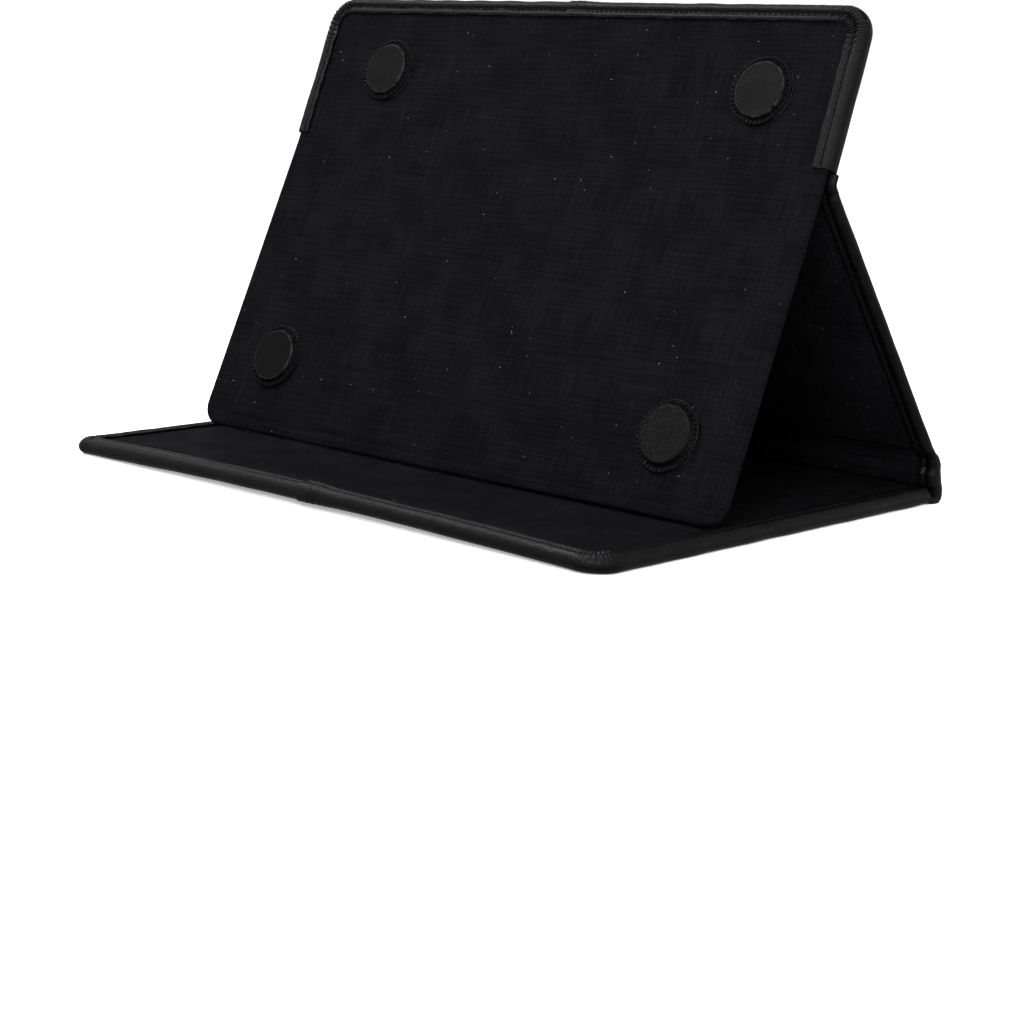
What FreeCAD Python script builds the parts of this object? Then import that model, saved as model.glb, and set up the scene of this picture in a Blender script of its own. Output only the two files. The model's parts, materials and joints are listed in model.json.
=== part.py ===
import FreeCAD, Part
import math
import os
import re
import Sketcher

# A folio case for a tablet, standing as an A-frame. Four stiff panels of leather, board and lining fold on
# one another, and a fabric-covered plate with four magnet discs hangs from the top panel's binding.
#
# World frame: +X across the case, +Y from the cover's nose to the spine, +Z up, with the origin on the
# surface that the case stands on, below its middle. Each panel is drawn flat in a frame of its own: X across
# the case, Y along the panel away from its fold line, Z through its thickness from the outer leather face.

# name of the size, its value in mm or degrees, what it is
SIZES = [
    ("case_width", 250.0, "whole width of the case"),
    ("cover_length", 174.0, "nose of the cover to the cover fold"),
    ("cover_corner", 7.0, "radius of the outer corners of cover and back"),
    ("leather_thickness", 0.9, "leather skin"),
    ("cover_board", 2.0, "stiffener of the cover"),
    ("cover_padding", 1.3, "foam over the cover's board"),
    ("lining_thickness", 0.4, "lining and plate fabric"),
    ("lining_crown", 0.8, "rise of the lining between the turned edges"),
    ("turn_in", 6.5, "width of the leather turned over the lining"),
    ("border_corner", 3.0, "corner radius of the turned leather's inner border"),
    ("edge_round", 1.6, "rounding of the thick panels' edges"),
    ("back_edge_round", 1.1, "rounding of the thin panels' edges"),
    ("fold_gap", 0.3, "clearance between a roll and the next panel"),
    ("gutter", 3.0, "fold line to the first stiff layer"),
    ("spine_height", 13.7, "cover fold to back fold"),
    ("spine_lean", 10.0, "lean of the standing spine towards the nose"),
    ("upper_back_length", 59.5, "crease to the top edge"),
    ("back_board", 1.2, "stiffener of spine and back"),
    ("plate_gap", 0.3, "clearance between the plate and the folded back"),
    ("plate_board", 1.6, "stiffener of the plate"),
    ("plate_side_gap", 0.6, "clearance between the plate's edge and the binding"),
    ("foot_setback", 1.0, "plate's foot to the back fold, with the plate laid on the back"),
    ("plate_corner", 8.0, "radius of the plate's lower corners"),
    ("plate_hem", 6.0, "width of the front fabric turned behind the plate"),
    ("plate_kink", 2.9, "bend of the plate where it leaves the binding"),
    ("upper_angle", 69.5, "slope of the upper back in the standing case"),
    ("foot_gap", 0.05, "clearance under the plate's foot"),
    ("notch", 4.0, "crease to the cut end of the binding"),
    ("lap_width", 10.0, "overlap of the two leather halves"),
    ("stitch_inset", 4.0, "panel edge to the stitch line"),
    ("plate_stitch_inset", 4.5, "plate edge to its stitch line"),
    ("thread_width", 0.7, "width of the laid thread"),
    ("thread_height", 0.2, "height of the laid thread"),
    ("disc_radius", 12.0, "flange of a magnet disc"),
    ("disc_plateau", 9.6, "raised middle of a magnet disc"),
    ("disc_flange", 0.9, "leather thickness of the flange"),
    ("disc_rise", 1.1, "plateau above the flange"),
    ("disc_shoulder", 0.7, "rounding of the plateau's rim"),
    ("disc_backing", 0.4, "backing under the flange"),
    ("magnet_radius", 8.2, "radius of the magnet"),
    ("magnet_thickness", 1.1, "thickness of the magnet"),
    ("disc_stitch_radius", 10.9, "radius of the stitch ring on the flange"),
]

# disc, its middle from the plate's near side edge, its middle from the plate's near end
DISCS = [
    ("top_left", 39.2, 27.6),
    ("top_right", 32.5, 29.2),
    ("bottom_left", 29.5, 29.0),
    ("bottom_right", 29.4, 25.4),
]

# Stacks of layers, as formulas in the names of the sizes
COVER_THICKNESS = "(2 * leather_thickness + cover_board + cover_padding + lining_thickness)"
BACK_THICKNESS = "(2 * leather_thickness + back_board + lining_thickness)"
FOLD_RADIUS = "(%s / 2)" % BACK_THICKNESS
PLATE_BACK = "(%s + plate_gap)" % BACK_THICKNESS
PLATE_FRONT = "(%s + plate_board + 2 * lining_thickness)" % PLATE_BACK
BOUND_THICKNESS = "(%s + leather_thickness)" % PLATE_FRONT

# Lengths that follow from others: the closed case's nose and top edge meet, and the plate lies on the back
LOWER_BACK_LENGTH = "(cover_length - upper_back_length)"
PLATE_WIDTH = "(case_width - 2 * leather_thickness - 2 * plate_side_gap)"
PLATE_TIP = "(upper_back_length - leather_thickness - plate_side_gap)"
PLATE_REACH = "(%s - foot_setback)" % LOWER_BACK_LENGTH
KINK = "(plate_kink * 1 deg)"

PARTS_FOLDER = "parts"
TOUCH = 1e-4
OVERSIZE = "(2 * cover_length)"

doc = FreeCAD.newDocument("tablet_case")
sheet = doc.addObject("Spreadsheet::Sheet", "Sizes")


# ------------------------------------------------------------------ sizes


def fill_sheet():
    """Write every driving size into the sheet, with its name as the cell's alias."""
    rows = list(SIZES)
    for place, from_side, from_end in DISCS:
        rows.append((place + "_from_side", from_side, "middle of the disc to the plate's side edge"))
        rows.append((place + "_from_end", from_end, "middle of the disc to the plate's end"))
    for row, (name, value, note) in enumerate(rows, start=1):
        sheet.set("A%d" % row, name)
        sheet.set("B%d" % row, str(value))
        sheet.setAlias("B%d" % row, name)
        sheet.set("C%d" % row, note)
    doc.recompute()
    return [name for name, value, note in rows]


ALIAS_WORD = re.compile(r"\b(" + "|".join(fill_sheet()) + r")\b")


def bound(formula):
    """A formula in the names of the sizes, as an expression that another object can hold."""
    return ALIAS_WORD.sub(r"Sizes.\1", formula)


def size(formula):
    """The value of a formula in the names of the sizes, in mm or degrees."""
    value = sheet.evalExpression(bound(formula))
    return float(getattr(value, "Value", value))


# ------------------------------------------------------------------ sketches and features


def new_body(label):
    body = doc.addObject("PartDesign::Body", label)
    body.Label = label
    return body


def new_sketch(body, name, role, height="0"):
    """A sketch on one of the body's origin planes, lifted off it by a formula."""
    sketch = body.newObject("Sketcher::SketchObject", body.Name + "_" + name)
    plane = next(item for item in body.Origin.OriginFeatures if item.Role == role)
    sketch.AttachmentSupport = [(plane, "")]
    sketch.MapMode = "FlatFace"
    sketch.setExpression("AttachmentOffset.Base.z", bound(height))
    return sketch


def bind(sketch, kind, places, formula):
    """A dimension of the sketch that follows a formula."""
    number = sketch.addConstraint(Sketcher.Constraint(kind, *places, size(formula)))
    sketch.setExpression("Constraints[%d]" % number, bound(formula))


def draw_loop(sketch, corners):
    """A closed loop of lines through corners given as pairs of formulas, each corner bound to its pair."""
    places = [FreeCAD.Vector(size(first), size(second), 0) for first, second in corners]
    ends = places[1:] + places[:1]
    lines = [sketch.addGeometry(Part.LineSegment(start, end)) for start, end in zip(places, ends)]
    for line, following in zip(lines, lines[1:] + lines[:1]):
        sketch.addConstraint(Sketcher.Constraint("Coincident", line, 2, following, 1))
    for line, (first, second) in zip(lines, corners):
        bind(sketch, "DistanceX", (-1, 1, line, 1), first)
        bind(sketch, "DistanceY", (-1, 1, line, 1), second)


def rectangle(width, y_low, y_high):
    """The corners of a rectangle that is centred across the panel."""
    right = "(%s) / 2" % width
    left = "-" + right
    return [(left, y_low), (right, y_low), (right, y_high), (left, y_high)]


def pad(body, sketch, length, midplane=False):
    feature = body.newObject("PartDesign::Pad", sketch.Name + "_pad")
    feature.Profile = sketch
    feature.Midplane = midplane
    feature.setExpression("Length", bound(length))
    doc.recompute()
    return feature


def pocket(body, sketch, length):
    """Cut from the sketch inwards, away from the outer face, and prove that something went."""
    before = body.Shape.Volume
    feature = body.newObject("PartDesign::Pocket", sketch.Name + "_pocket")
    feature.Profile = sketch
    feature.Reversed = True
    feature.setExpression("Length", bound(length))
    doc.recompute()
    if body.Shape.Volume >= before:
        raise RuntimeError("%s removes nothing from %s" % (feature.Name, body.Label))
    return feature


def fillet(body, wanted, radius):
    """Round the edges of the body's last feature that the test picks."""
    base = body.Tip
    names = ["Edge%d" % number for number, edge in enumerate(base.Shape.Edges, start=1) if wanted(edge)]
    if not names:
        raise RuntimeError("no edge to round on " + body.Label)
    feature = body.newObject("PartDesign::Fillet", body.Name + "_round")
    feature.Base = (base, names)
    feature.setExpression("Radius", bound(radius))
    doc.recompute()
    return feature


def revolve(body, name, corners):
    """Turn a loop of radius and height pairs about the body's Z axis."""
    sketch = new_sketch(body, name, "XZ_Plane")
    draw_loop(sketch, corners)
    feature = body.newObject("PartDesign::Revolution", sketch.Name + "_turned")
    feature.Profile = sketch
    feature.ReferenceAxis = (sketch, ["V_Axis"])
    feature.Angle = 360
    doc.recompute()
    return feature


# ------------------------------------------------------------------ panel shapes


def corner_edges(width, y_end, z_low, z_high):
    """A test for the upright edges at the two corners of one end of a slab."""
    half, end = size(width) / 2, size(y_end)
    low, high = size(z_low), size(z_high)

    def wanted(edge):
        box, middle = edge.BoundBox, edge.CenterOfMass
        upright = max(box.XLength, box.YLength) < TOUCH
        at_corner = abs(abs(middle.x) - half) < TOUCH and abs(middle.y - end) < TOUCH
        return upright and at_corner and abs(middle.z - (low + high) / 2) < TOUCH

    return wanted


def slab(body, name, width, y_low, y_high, z_low, z_high, corner=None, round_ends=()):
    """A rectangle of the panel between two heights, with rounded corners at the ends that are named."""
    sketch = new_sketch(body, name, "XY_Plane", z_low)
    draw_loop(sketch, rectangle(width, y_low, y_high))
    pad(body, sketch, "(%s) - (%s)" % (z_high, z_low))
    for y_end in round_ends:
        fillet(body, corner_edges(width, y_end, z_low, z_high), corner)


def recess(body, name, width, y_low, y_high, z_low, z_high, corner=None, round_ends=()):
    """The same rectangle taken out of the body."""
    sketch = new_sketch(body, name, "XY_Plane", z_low)
    draw_loop(sketch, rectangle(width, y_low, y_high))
    pocket(body, sketch, "(%s) - (%s)" % (z_high, z_low))
    for y_end in round_ends:
        fillet(body, corner_edges(width, y_end, z_low, z_high), corner)


def round_rim(body, thickness, open_ends, radius):
    """Round the long edges of both faces of a slab, apart from those along its open ends."""
    top = size(thickness)
    stops = [size(y_end) for y_end in open_ends]

    def wanted(edge):
        box, middle = edge.BoundBox, edge.CenterOfMass
        on_a_face = box.ZLength < TOUCH and min(abs(middle.z), abs(middle.z - top)) < TOUCH
        along_stop = box.YLength < TOUCH and any(abs(middle.y - stop) < TOUCH for stop in stops)
        return on_a_face and not along_stop

    fillet(body, wanted, radius)


def fold_roll(body):
    """The roll of leather that the panel turns on, along its fold line."""
    sketch = new_sketch(body, "roll", "YZ_Plane")
    centre = FreeCAD.Vector(0, size(FOLD_RADIUS), 0)
    circle = sketch.addGeometry(Part.Circle(centre, FreeCAD.Vector(0, 0, 1), size(FOLD_RADIUS)))
    bind(sketch, "DistanceX", (-1, 1, circle, 3), "0")
    bind(sketch, "DistanceY", (-1, 1, circle, 3), FOLD_RADIUS)
    bind(sketch, "Radius", (circle,), FOLD_RADIUS)
    pad(body, sketch, "case_width", midplane=True)


def fold_tongue(body, panel_end):
    """The bare leather beyond the stiff layers, up to the roll of the next fold."""
    slab(body, "tongue", "case_width", "%s - gutter" % panel_end,
         "%s - %s - fold_gap" % (panel_end, FOLD_RADIUS), "0", "leather_thickness")


def fold_root(body):
    """The bare leather between the panel's own roll and its stiff layers, with the roll."""
    slab(body, "root", "case_width", "0", "gutter", "0", "leather_thickness")
    fold_roll(body)


def cut(label, base, tool):
    feature = doc.addObject("Part::Cut", label)
    feature.Base = base
    feature.Tool = tool
    feature.Label = label
    doc.recompute()
    return feature


def box(label, x_low, x_high, y_low, y_high, z_low, z_high):
    solid = doc.addObject("Part::Box", label)
    solid.setExpression("Length", bound("(%s) - (%s)" % (x_high, x_low)))
    solid.setExpression("Width", bound("(%s) - (%s)" % (y_high, y_low)))
    solid.setExpression("Height", bound("(%s) - (%s)" % (z_high, z_low)))
    solid.setExpression(".Placement.Base.x", bound(x_low))
    solid.setExpression(".Placement.Base.y", bound(y_low))
    solid.setExpression(".Placement.Base.z", bound(z_low))
    return solid


def lapped_halves(name, leather, thickness, tongue_low, tongue_high):
    """The two halves of a panel's leather: the left one runs on, at half thickness, under the right one."""
    far = OVERSIZE
    tongue = box(name + "_lap", "0", "lap_width", tongue_low, tongue_high,
                 "leather_thickness / 2", "%s - leather_thickness / 2" % thickness)
    right_side = box(name + "_right_side", "0", far, "-" + far, far, "-" + far, far)
    left_side = box(name + "_left_side", "-" + far, "0", "-" + far, far, "-" + far, far)
    over = cut(name + "_right_room", right_side, tongue)
    under = doc.addObject("Part::Fuse", name + "_left_room")
    under.Base = left_side
    under.Tool = tongue
    return [cut(name + "_leather_left", leather, over), cut(name + "_leather_right", leather, under)]


def thread_line(label, width, y_low, y_high, height, closed_end=None, corner=None):
    """A line of laid thread round a panel, open where it runs into the next panel."""
    top = "%s + thread_height" % height
    inner_low, inner_high = "(%s - thread_width)" % y_low, "(%s + thread_width)" % y_high
    outer_ends, inner_ends = [], []
    if closed_end == "low":
        inner_low = "(%s + thread_width)" % y_low
        outer_ends, inner_ends = [y_low], [inner_low]
    if closed_end == "high":
        inner_high = "(%s - thread_width)" % y_high
        outer_ends, inner_ends = [y_high], [inner_high]
    outside = new_body(label + "_outside")
    slab(outside, "outline", width, y_low, y_high, height, top, corner, outer_ends)
    inside = new_body(label + "_inside")
    slab(inside, "outline", "(%s - 2 * thread_width)" % width, inner_low, inner_high, height, top,
         "%s - thread_width" % corner, inner_ends)
    return cut(label, outside, inside)


# ------------------------------------------------------------------ cover


def cover_parts():
    """The front cover, lying flat: leather, board, foam, lining and the stitching of its turned edge."""
    rear = "(cover_length - gutter)"
    inner = "(case_width - 2 * leather_thickness)"
    inner_corner = "cover_corner - leather_thickness"
    window = "(case_width - 2 * turn_in)"
    board_top = "(leather_thickness + cover_board)"
    padding_top = "(%s + cover_padding)" % board_top
    lip = "(%s - leather_thickness)" % COVER_THICKNESS

    def layer(body, name, z_low, z_high):
        slab(body, name, inner, "leather_thickness", rear, z_low, z_high, inner_corner, ["leather_thickness"])

    def window_layer(body, name, z_low, z_high):
        slab(body, name, window, "turn_in", rear, z_low, z_high, "border_corner", ["turn_in"])

    blank = new_body("base_skin_blank")
    slab(blank, "outline", "case_width", "0", rear, "0", COVER_THICKNESS, "cover_corner", ["0"])
    round_rim(blank, COVER_THICKNESS, [rear], "edge_round")
    fold_tongue(blank, "cover_length")

    core = new_body("base_skin_core")
    layer(core, "room", "leather_thickness", lip)
    window_layer(core, "window", lip, COVER_THICKNESS)

    leather = cut("base_skin", blank, core)
    halves = lapped_halves("base", leather, COVER_THICKNESS, "leather_thickness / 2", OVERSIZE)

    board = new_body("base_board")
    layer(board, "sheet", "leather_thickness", board_top)

    padding = new_body("base_padding")
    layer(padding, "sheet", board_top, padding_top)

    lining = new_body("base_lining")
    layer(lining, "sheet", padding_top, lip)
    window_layer(lining, "crown", lip, "%s + lining_crown" % lip)

    stitching = thread_line("base_stitching", "(case_width - 2 * stitch_inset)", "stitch_inset", rear,
                            COVER_THICKNESS, "low", "border_corner")
    return halves + [board, padding, lining, stitching]


# ------------------------------------------------------------------ spine and lower back


def fold_panel_parts(name, length):
    """A panel between two folds: leather, board, lining and the stitching of its two turned sides."""
    low, high = "gutter", "(%s - gutter)" % length
    inner = "(case_width - 2 * leather_thickness)"
    window = "(case_width - 2 * turn_in)"
    board_top = "(leather_thickness + back_board)"
    lip = "(%s - leather_thickness)" % BACK_THICKNESS

    blank = new_body(name + "_skin_blank")
    slab(blank, "outline", "case_width", low, high, "0", BACK_THICKNESS)
    round_rim(blank, BACK_THICKNESS, [low, high], "back_edge_round")
    fold_root(blank)
    fold_tongue(blank, length)

    core = new_body(name + "_skin_core")
    slab(core, "room", inner, low, high, "leather_thickness", lip)
    slab(core, "window", window, low, high, lip, BACK_THICKNESS)

    leather = cut(name + "_skin", blank, core)
    halves = lapped_halves(name, leather, BACK_THICKNESS, "-" + OVERSIZE, OVERSIZE)

    board = new_body(name + "_board")
    slab(board, "sheet", inner, low, high, "leather_thickness", board_top)

    lining = new_body(name + "_lining")
    slab(lining, "sheet", inner, low, high, board_top, lip)
    slab(lining, "crown", window, low, high, lip, "%s + lining_crown" % lip)

    stitching = thread_line(name + "_stitching", "(case_width - 2 * stitch_inset)", low, high,
                            BACK_THICKNESS)
    return halves + [board, lining, stitching]


# ------------------------------------------------------------------ upper back and its binding


def upper_back_parts():
    """The upper back: leather that turns round the plate's edge as a binding, board, foam and lining."""
    low, high = "gutter", "upper_back_length"
    inner_high = "(upper_back_length - leather_thickness)"
    inner = "(case_width - 2 * leather_thickness)"
    inner_corner = "cover_corner - leather_thickness"
    window = "(case_width - 2 * turn_in)"
    window_high = "(upper_back_length - turn_in)"
    board_top = "(leather_thickness + back_board)"
    lining_low = "(%s - lining_thickness)" % PLATE_BACK

    blank = new_body("upper_back_skin_blank")
    slab(blank, "outline", "case_width", low, high, "0", BOUND_THICKNESS, "cover_corner", [high])
    round_rim(blank, BOUND_THICKNESS, [low], "edge_round")
    recess(blank, "notch", "case_width", low, "notch", PLATE_BACK, BOUND_THICKNESS)
    fold_root(blank)

    core = new_body("upper_back_skin_core")
    slab(core, "room", inner, low, inner_high, "leather_thickness", PLATE_FRONT, inner_corner, [inner_high])
    slab(core, "window", window, low, window_high, PLATE_FRONT, BOUND_THICKNESS,
         "border_corner", [window_high])

    leather = cut("upper_back_skin", blank, core)
    halves = lapped_halves("upper_back", leather, BOUND_THICKNESS, "-" + OVERSIZE,
                           "upper_back_length - leather_thickness / 2")

    layers = []
    for label, z_low, z_high in [("upper_back_board", "leather_thickness", board_top),
                                 ("upper_back_padding", board_top, lining_low),
                                 ("upper_back_lining", lining_low, PLATE_BACK)]:
        body = new_body(label)
        slab(body, "sheet", inner, low, inner_high, z_low, z_high, inner_corner, [inner_high])
        layers.append(body)

    stitching = thread_line("binding_stitching", "(case_width - 2 * stitch_inset)", "notch",
                            "(upper_back_length - stitch_inset)", BOUND_THICKNESS, "high", "border_corner")
    return halves + layers + [stitching]


# ------------------------------------------------------------------ plate


def kinked_layer(label, width, z_low, z_high, inset, top_corner=None, foot_corner=None):
    """A layer of the plate between two heights above the plate's back. It bends towards the tablet at the
    crease, and its edges stand in from the plate's own by the inset."""
    tip = "(%s - %s)" % (PLATE_TIP, inset)
    reach = "(%s - %s)" % (PLATE_REACH, inset)

    def crease(height):
        return "%s * tan(%s / 2)" % (height, KINK), "%s + %s" % (PLATE_BACK, height)

    def foot(height):
        along = "%s * sin(%s) - %s * cos(%s)" % (height, KINK, reach, KINK)
        above = "%s + %s * cos(%s) + %s * sin(%s)" % (PLATE_BACK, height, KINK, reach, KINK)
        return along, above

    def top(height):
        return tip, "%s + %s" % (PLATE_BACK, height)

    body = new_body(label)
    sketch = new_sketch(body, "side", "YZ_Plane")
    draw_loop(sketch, [top(z_low), top(z_high), crease(z_high), foot(z_high), foot(z_low), crease(z_low)])
    pad(body, sketch, width, midplane=True)

    half = size(width) / 2

    def at_corner(end_is_top):
        def wanted(edge):
            through = edge.BoundBox.XLength < TOUCH and edge.BoundBox.YLength < edge.BoundBox.ZLength
            middle = edge.CenterOfMass
            return through and abs(abs(middle.x) - half) < TOUCH and (middle.y > 0) == end_is_top
        return wanted

    if top_corner:
        fillet(body, at_corner(True), top_corner)
    if foot_corner:
        fillet(body, at_corner(False), foot_corner)
    return body


def plate_parts():
    """The plate: a board in front fabric that turns behind it, the back fabric between the turned hems."""
    thickness = "(plate_board + 2 * lining_thickness)"
    board_top = "(lining_thickness + plate_board)"
    top_corner = "(cover_corner - leather_thickness - plate_side_gap)"
    board_width = "(%s - 2 * lining_thickness)" % PLATE_WIDTH
    hemmed_width = "(%s - 2 * plate_hem)" % PLATE_WIDTH

    blank = kinked_layer("plate_blank", PLATE_WIDTH, "0", thickness, "0", top_corner, "plate_corner")

    def board_shape(label):
        return kinked_layer(label, board_width, "lining_thickness", board_top, "lining_thickness",
                            "%s - lining_thickness" % top_corner, "plate_corner - lining_thickness")

    def back_shape(label):
        return kinked_layer(label, hemmed_width, "0", "lining_thickness", "plate_hem")

    around = cut("plate_fabric_around", blank, board_shape("plate_board_room"))
    front = cut("plate_front_fabric", around, back_shape("plate_back_room"))
    return [board_shape("plate_board"), back_shape("plate_back_fabric"), front]


def plate_stitching():
    """The stitch line of the plate's free part, drawn from the crease towards the foot."""
    width = "(%s - 2 * plate_stitch_inset)" % PLATE_WIDTH
    return thread_line("plate_stitching", width, "(plate_stitch_inset - %s)" % PLATE_REACH, "0", "0",
                       "low", "(plate_corner - plate_stitch_inset)")


# ------------------------------------------------------------------ magnet discs


def washer(label, outer, inner, z_low, z_high):
    body = new_body(label)
    revolve(body, "section", [(inner, z_low), (outer, z_low), (outer, z_high), (inner, z_high)])
    return body


def disc_parts(place):
    """One magnet disc: a leather cover with a sewn flange, the magnet in it, a backing and the stitches."""
    flange_top = "(disc_backing + disc_flange)"
    crown = "(%s + disc_rise)" % flange_top
    magnet_top = "(disc_backing + magnet_thickness)"

    cover = new_body("disc_cover_" + place)
    revolve(cover, "section", [
        ("0", magnet_top),
        ("magnet_radius", magnet_top),
        ("magnet_radius", "disc_backing"),
        ("disc_radius", "disc_backing"),
        ("disc_radius", flange_top),
        ("disc_plateau", flange_top),
        ("disc_plateau", crown),
        ("0", crown),
    ])
    rim, top = size("disc_plateau"), size(crown)

    def plateau_rim(edge):
        return abs(edge.BoundBox.XLength - 2 * rim) < TOUCH and abs(edge.CenterOfMass.z - top) < TOUCH

    fillet(cover, plateau_rim, "disc_shoulder")

    magnet = doc.addObject("Part::Cylinder", "disc_magnet_" + place)
    magnet.setExpression("Radius", bound("magnet_radius"))
    magnet.setExpression("Height", bound("magnet_thickness"))

    backing = doc.addObject("Part::Cylinder", "disc_backing_" + place)
    backing.setExpression("Radius", bound("disc_radius"))
    backing.setExpression("Height", bound("disc_backing"))

    stitching = washer("disc_stitching_" + place, "disc_stitch_radius + thread_width / 2",
                       "disc_stitch_radius - thread_width / 2", flange_top, flange_top + " + thread_height")
    doc.recompute()
    lift = FreeCAD.Placement(FreeCAD.Vector(0, 0, size("disc_backing")), FreeCAD.Rotation())
    return [(cover, None), (magnet, lift), (backing, None), (stitching, None)]


# ------------------------------------------------------------------ assembly


def turn_about_x(angle):
    return FreeCAD.Rotation(FreeCAD.Vector(1, 0, 0), angle)


def panel_frame(fold, angle):
    """The frame of a panel that hangs on a fold line (y, z), rising at the angle, inner face to the nose."""
    at_fold = FreeCAD.Placement(FreeCAD.Vector(0, fold[0], fold[1]), turn_about_x(angle))
    outer_face = FreeCAD.Placement(FreeCAD.Vector(0, 0, -size(FOLD_RADIUS)), FreeCAD.Rotation())
    return at_fold * outer_face


def step(start, length, angle):
    """The point at a distance from the start, along a direction in the side view."""
    turn = math.radians(angle)
    return start[0] + length * math.cos(turn), start[1] + length * math.sin(turn)


def standing_case():
    """The fold lines and panel angles of the standing case. The plate's foot rests on the cover, and that
    sets how far the lower back leans."""
    spine_angle = 90 + size("spine_lean")
    upper_angle = size("upper_angle")
    rear = (size("cover_length") + size(FOLD_RADIUS)) / 2
    cover_fold = (size("cover_length") - rear, size(FOLD_RADIUS))
    back_fold = step(cover_fold, size("spine_height"), spine_angle)

    reach, kink = size(PLATE_REACH), math.radians(size("plate_kink"))
    foot_along = -reach * math.cos(kink)
    foot_above = size(PLATE_BACK) - size(FOLD_RADIUS) + reach * math.sin(kink)
    slope = math.radians(upper_angle)
    foot_below_crease = foot_along * math.sin(slope) + foot_above * math.cos(slope)
    crease_height = size(COVER_THICKNESS) + size("foot_gap") - foot_below_crease
    lower_back = size(LOWER_BACK_LENGTH)
    lower_angle = 180 - math.degrees(math.asin((crease_height - back_fold[1]) / lower_back))
    crease = step(back_fold, lower_back, lower_angle)
    return {
        "cover": (cover_fold, 0.0),
        "spine": (cover_fold, spine_angle),
        "lower_back": (back_fold, lower_angle),
        "upper_back": (crease, upper_angle),
    }


def disc_spot(place):
    """The middle of a disc on the plate: its distance from the plate's middle and from the crease."""
    across = size("%s / 2 - %s_from_side" % (PLATE_WIDTH, place))
    if place.endswith("left"):
        across = -across
    if place.startswith("top"):
        return across, size("%s - %s_from_end" % (PLATE_TIP, place))
    return across, size("%s_from_end - %s" % (place, PLATE_REACH))


def place_all(objects, frame):
    for item in objects:
        item.Placement = frame
    return list(objects)


def build():
    """Every sub-part of the case, in its place."""
    stand = standing_case()
    frames = {name: panel_frame(fold, angle) for name, (fold, angle) in stand.items()}
    nose = FreeCAD.Placement(FreeCAD.Vector(0, -size("cover_length"), 0), FreeCAD.Rotation())
    holder = frames["upper_back"]
    bend = FreeCAD.Placement(FreeCAD.Vector(0, 0, size(PLATE_BACK)), turn_about_x(-size("plate_kink")))
    onto_front = FreeCAD.Placement(FreeCAD.Vector(0, 0, size(PLATE_FRONT) - size(PLATE_BACK)),
                                   FreeCAD.Rotation())
    onto_upper_front = FreeCAD.Placement(FreeCAD.Vector(0, 0, size(PLATE_FRONT)), FreeCAD.Rotation())
    free_face = holder * bend * onto_front

    parts = place_all(cover_parts(), frames["cover"] * nose)
    parts += place_all(fold_panel_parts("spine", "spine_height"), frames["spine"])
    parts += place_all(fold_panel_parts("lower_back", LOWER_BACK_LENGTH), frames["lower_back"])
    parts += place_all(upper_back_parts(), holder)
    parts += place_all(plate_parts(), holder)
    parts += place_all([plate_stitching()], free_face)

    for name, (fold, angle) in stand.items():
        print("%-11s fold at y %.4f z %.4f, angle %.4f" % (name, fold[0], fold[1], angle))

    crown = size("disc_backing + disc_flange + disc_rise")
    for place, from_side, from_end in DISCS:
        across, along = disc_spot(place)
        face = free_face if along < 0 else holder * onto_upper_front
        seat = face * FreeCAD.Placement(FreeCAD.Vector(across, along, 0), FreeCAD.Rotation())
        for item, lift in disc_parts(place):
            parts += place_all([item], seat * lift if lift else seat)
        print("disc %-12s face at %s, normal %s" % (
            place, seat.multVec(FreeCAD.Vector(0, 0, crown)), face.Rotation.multVec(FreeCAD.Vector(0, 0, 1))))
    return parts


def check(parts):
    """Stop if any object failed or any sub-part is not a valid shape."""
    for item in doc.Objects:
        if "Invalid" in item.State or "Error" in item.State:
            raise RuntimeError("%s failed: %s" % (item.Label, item.State))
    for item in parts:
        if item.Shape.isNull() or not item.Shape.isValid() or item.Shape.Volume <= 0:
            raise RuntimeError("%s has no valid shape" % item.Label)


def main():
    parts = build()
    doc.recompute()
    check(parts)
    os.makedirs(PARTS_FOLDER, exist_ok=True)
    for item in parts:
        item.Shape.exportStep(os.path.join(PARTS_FOLDER, item.Label + ".step"))
    print("%d sub-parts written" % len(parts))


main()
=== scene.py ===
"""A folio case for a tablet that stands as an A-frame: its leather, linings, seams, plate and magnet discs.

Each piece is worked out flat, in the frame of the panel that it belongs to: across the case, along the panel
and above the panel's outer leather face, in millimetres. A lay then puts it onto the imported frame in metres.
"""
import json
import logging
import math
from dataclasses import dataclass, field
from enum import Enum
from typing import Iterable, Protocol, Sequence

import bmesh
import bpy
import numpy as np
from mathutils import Matrix, Vector


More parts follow.
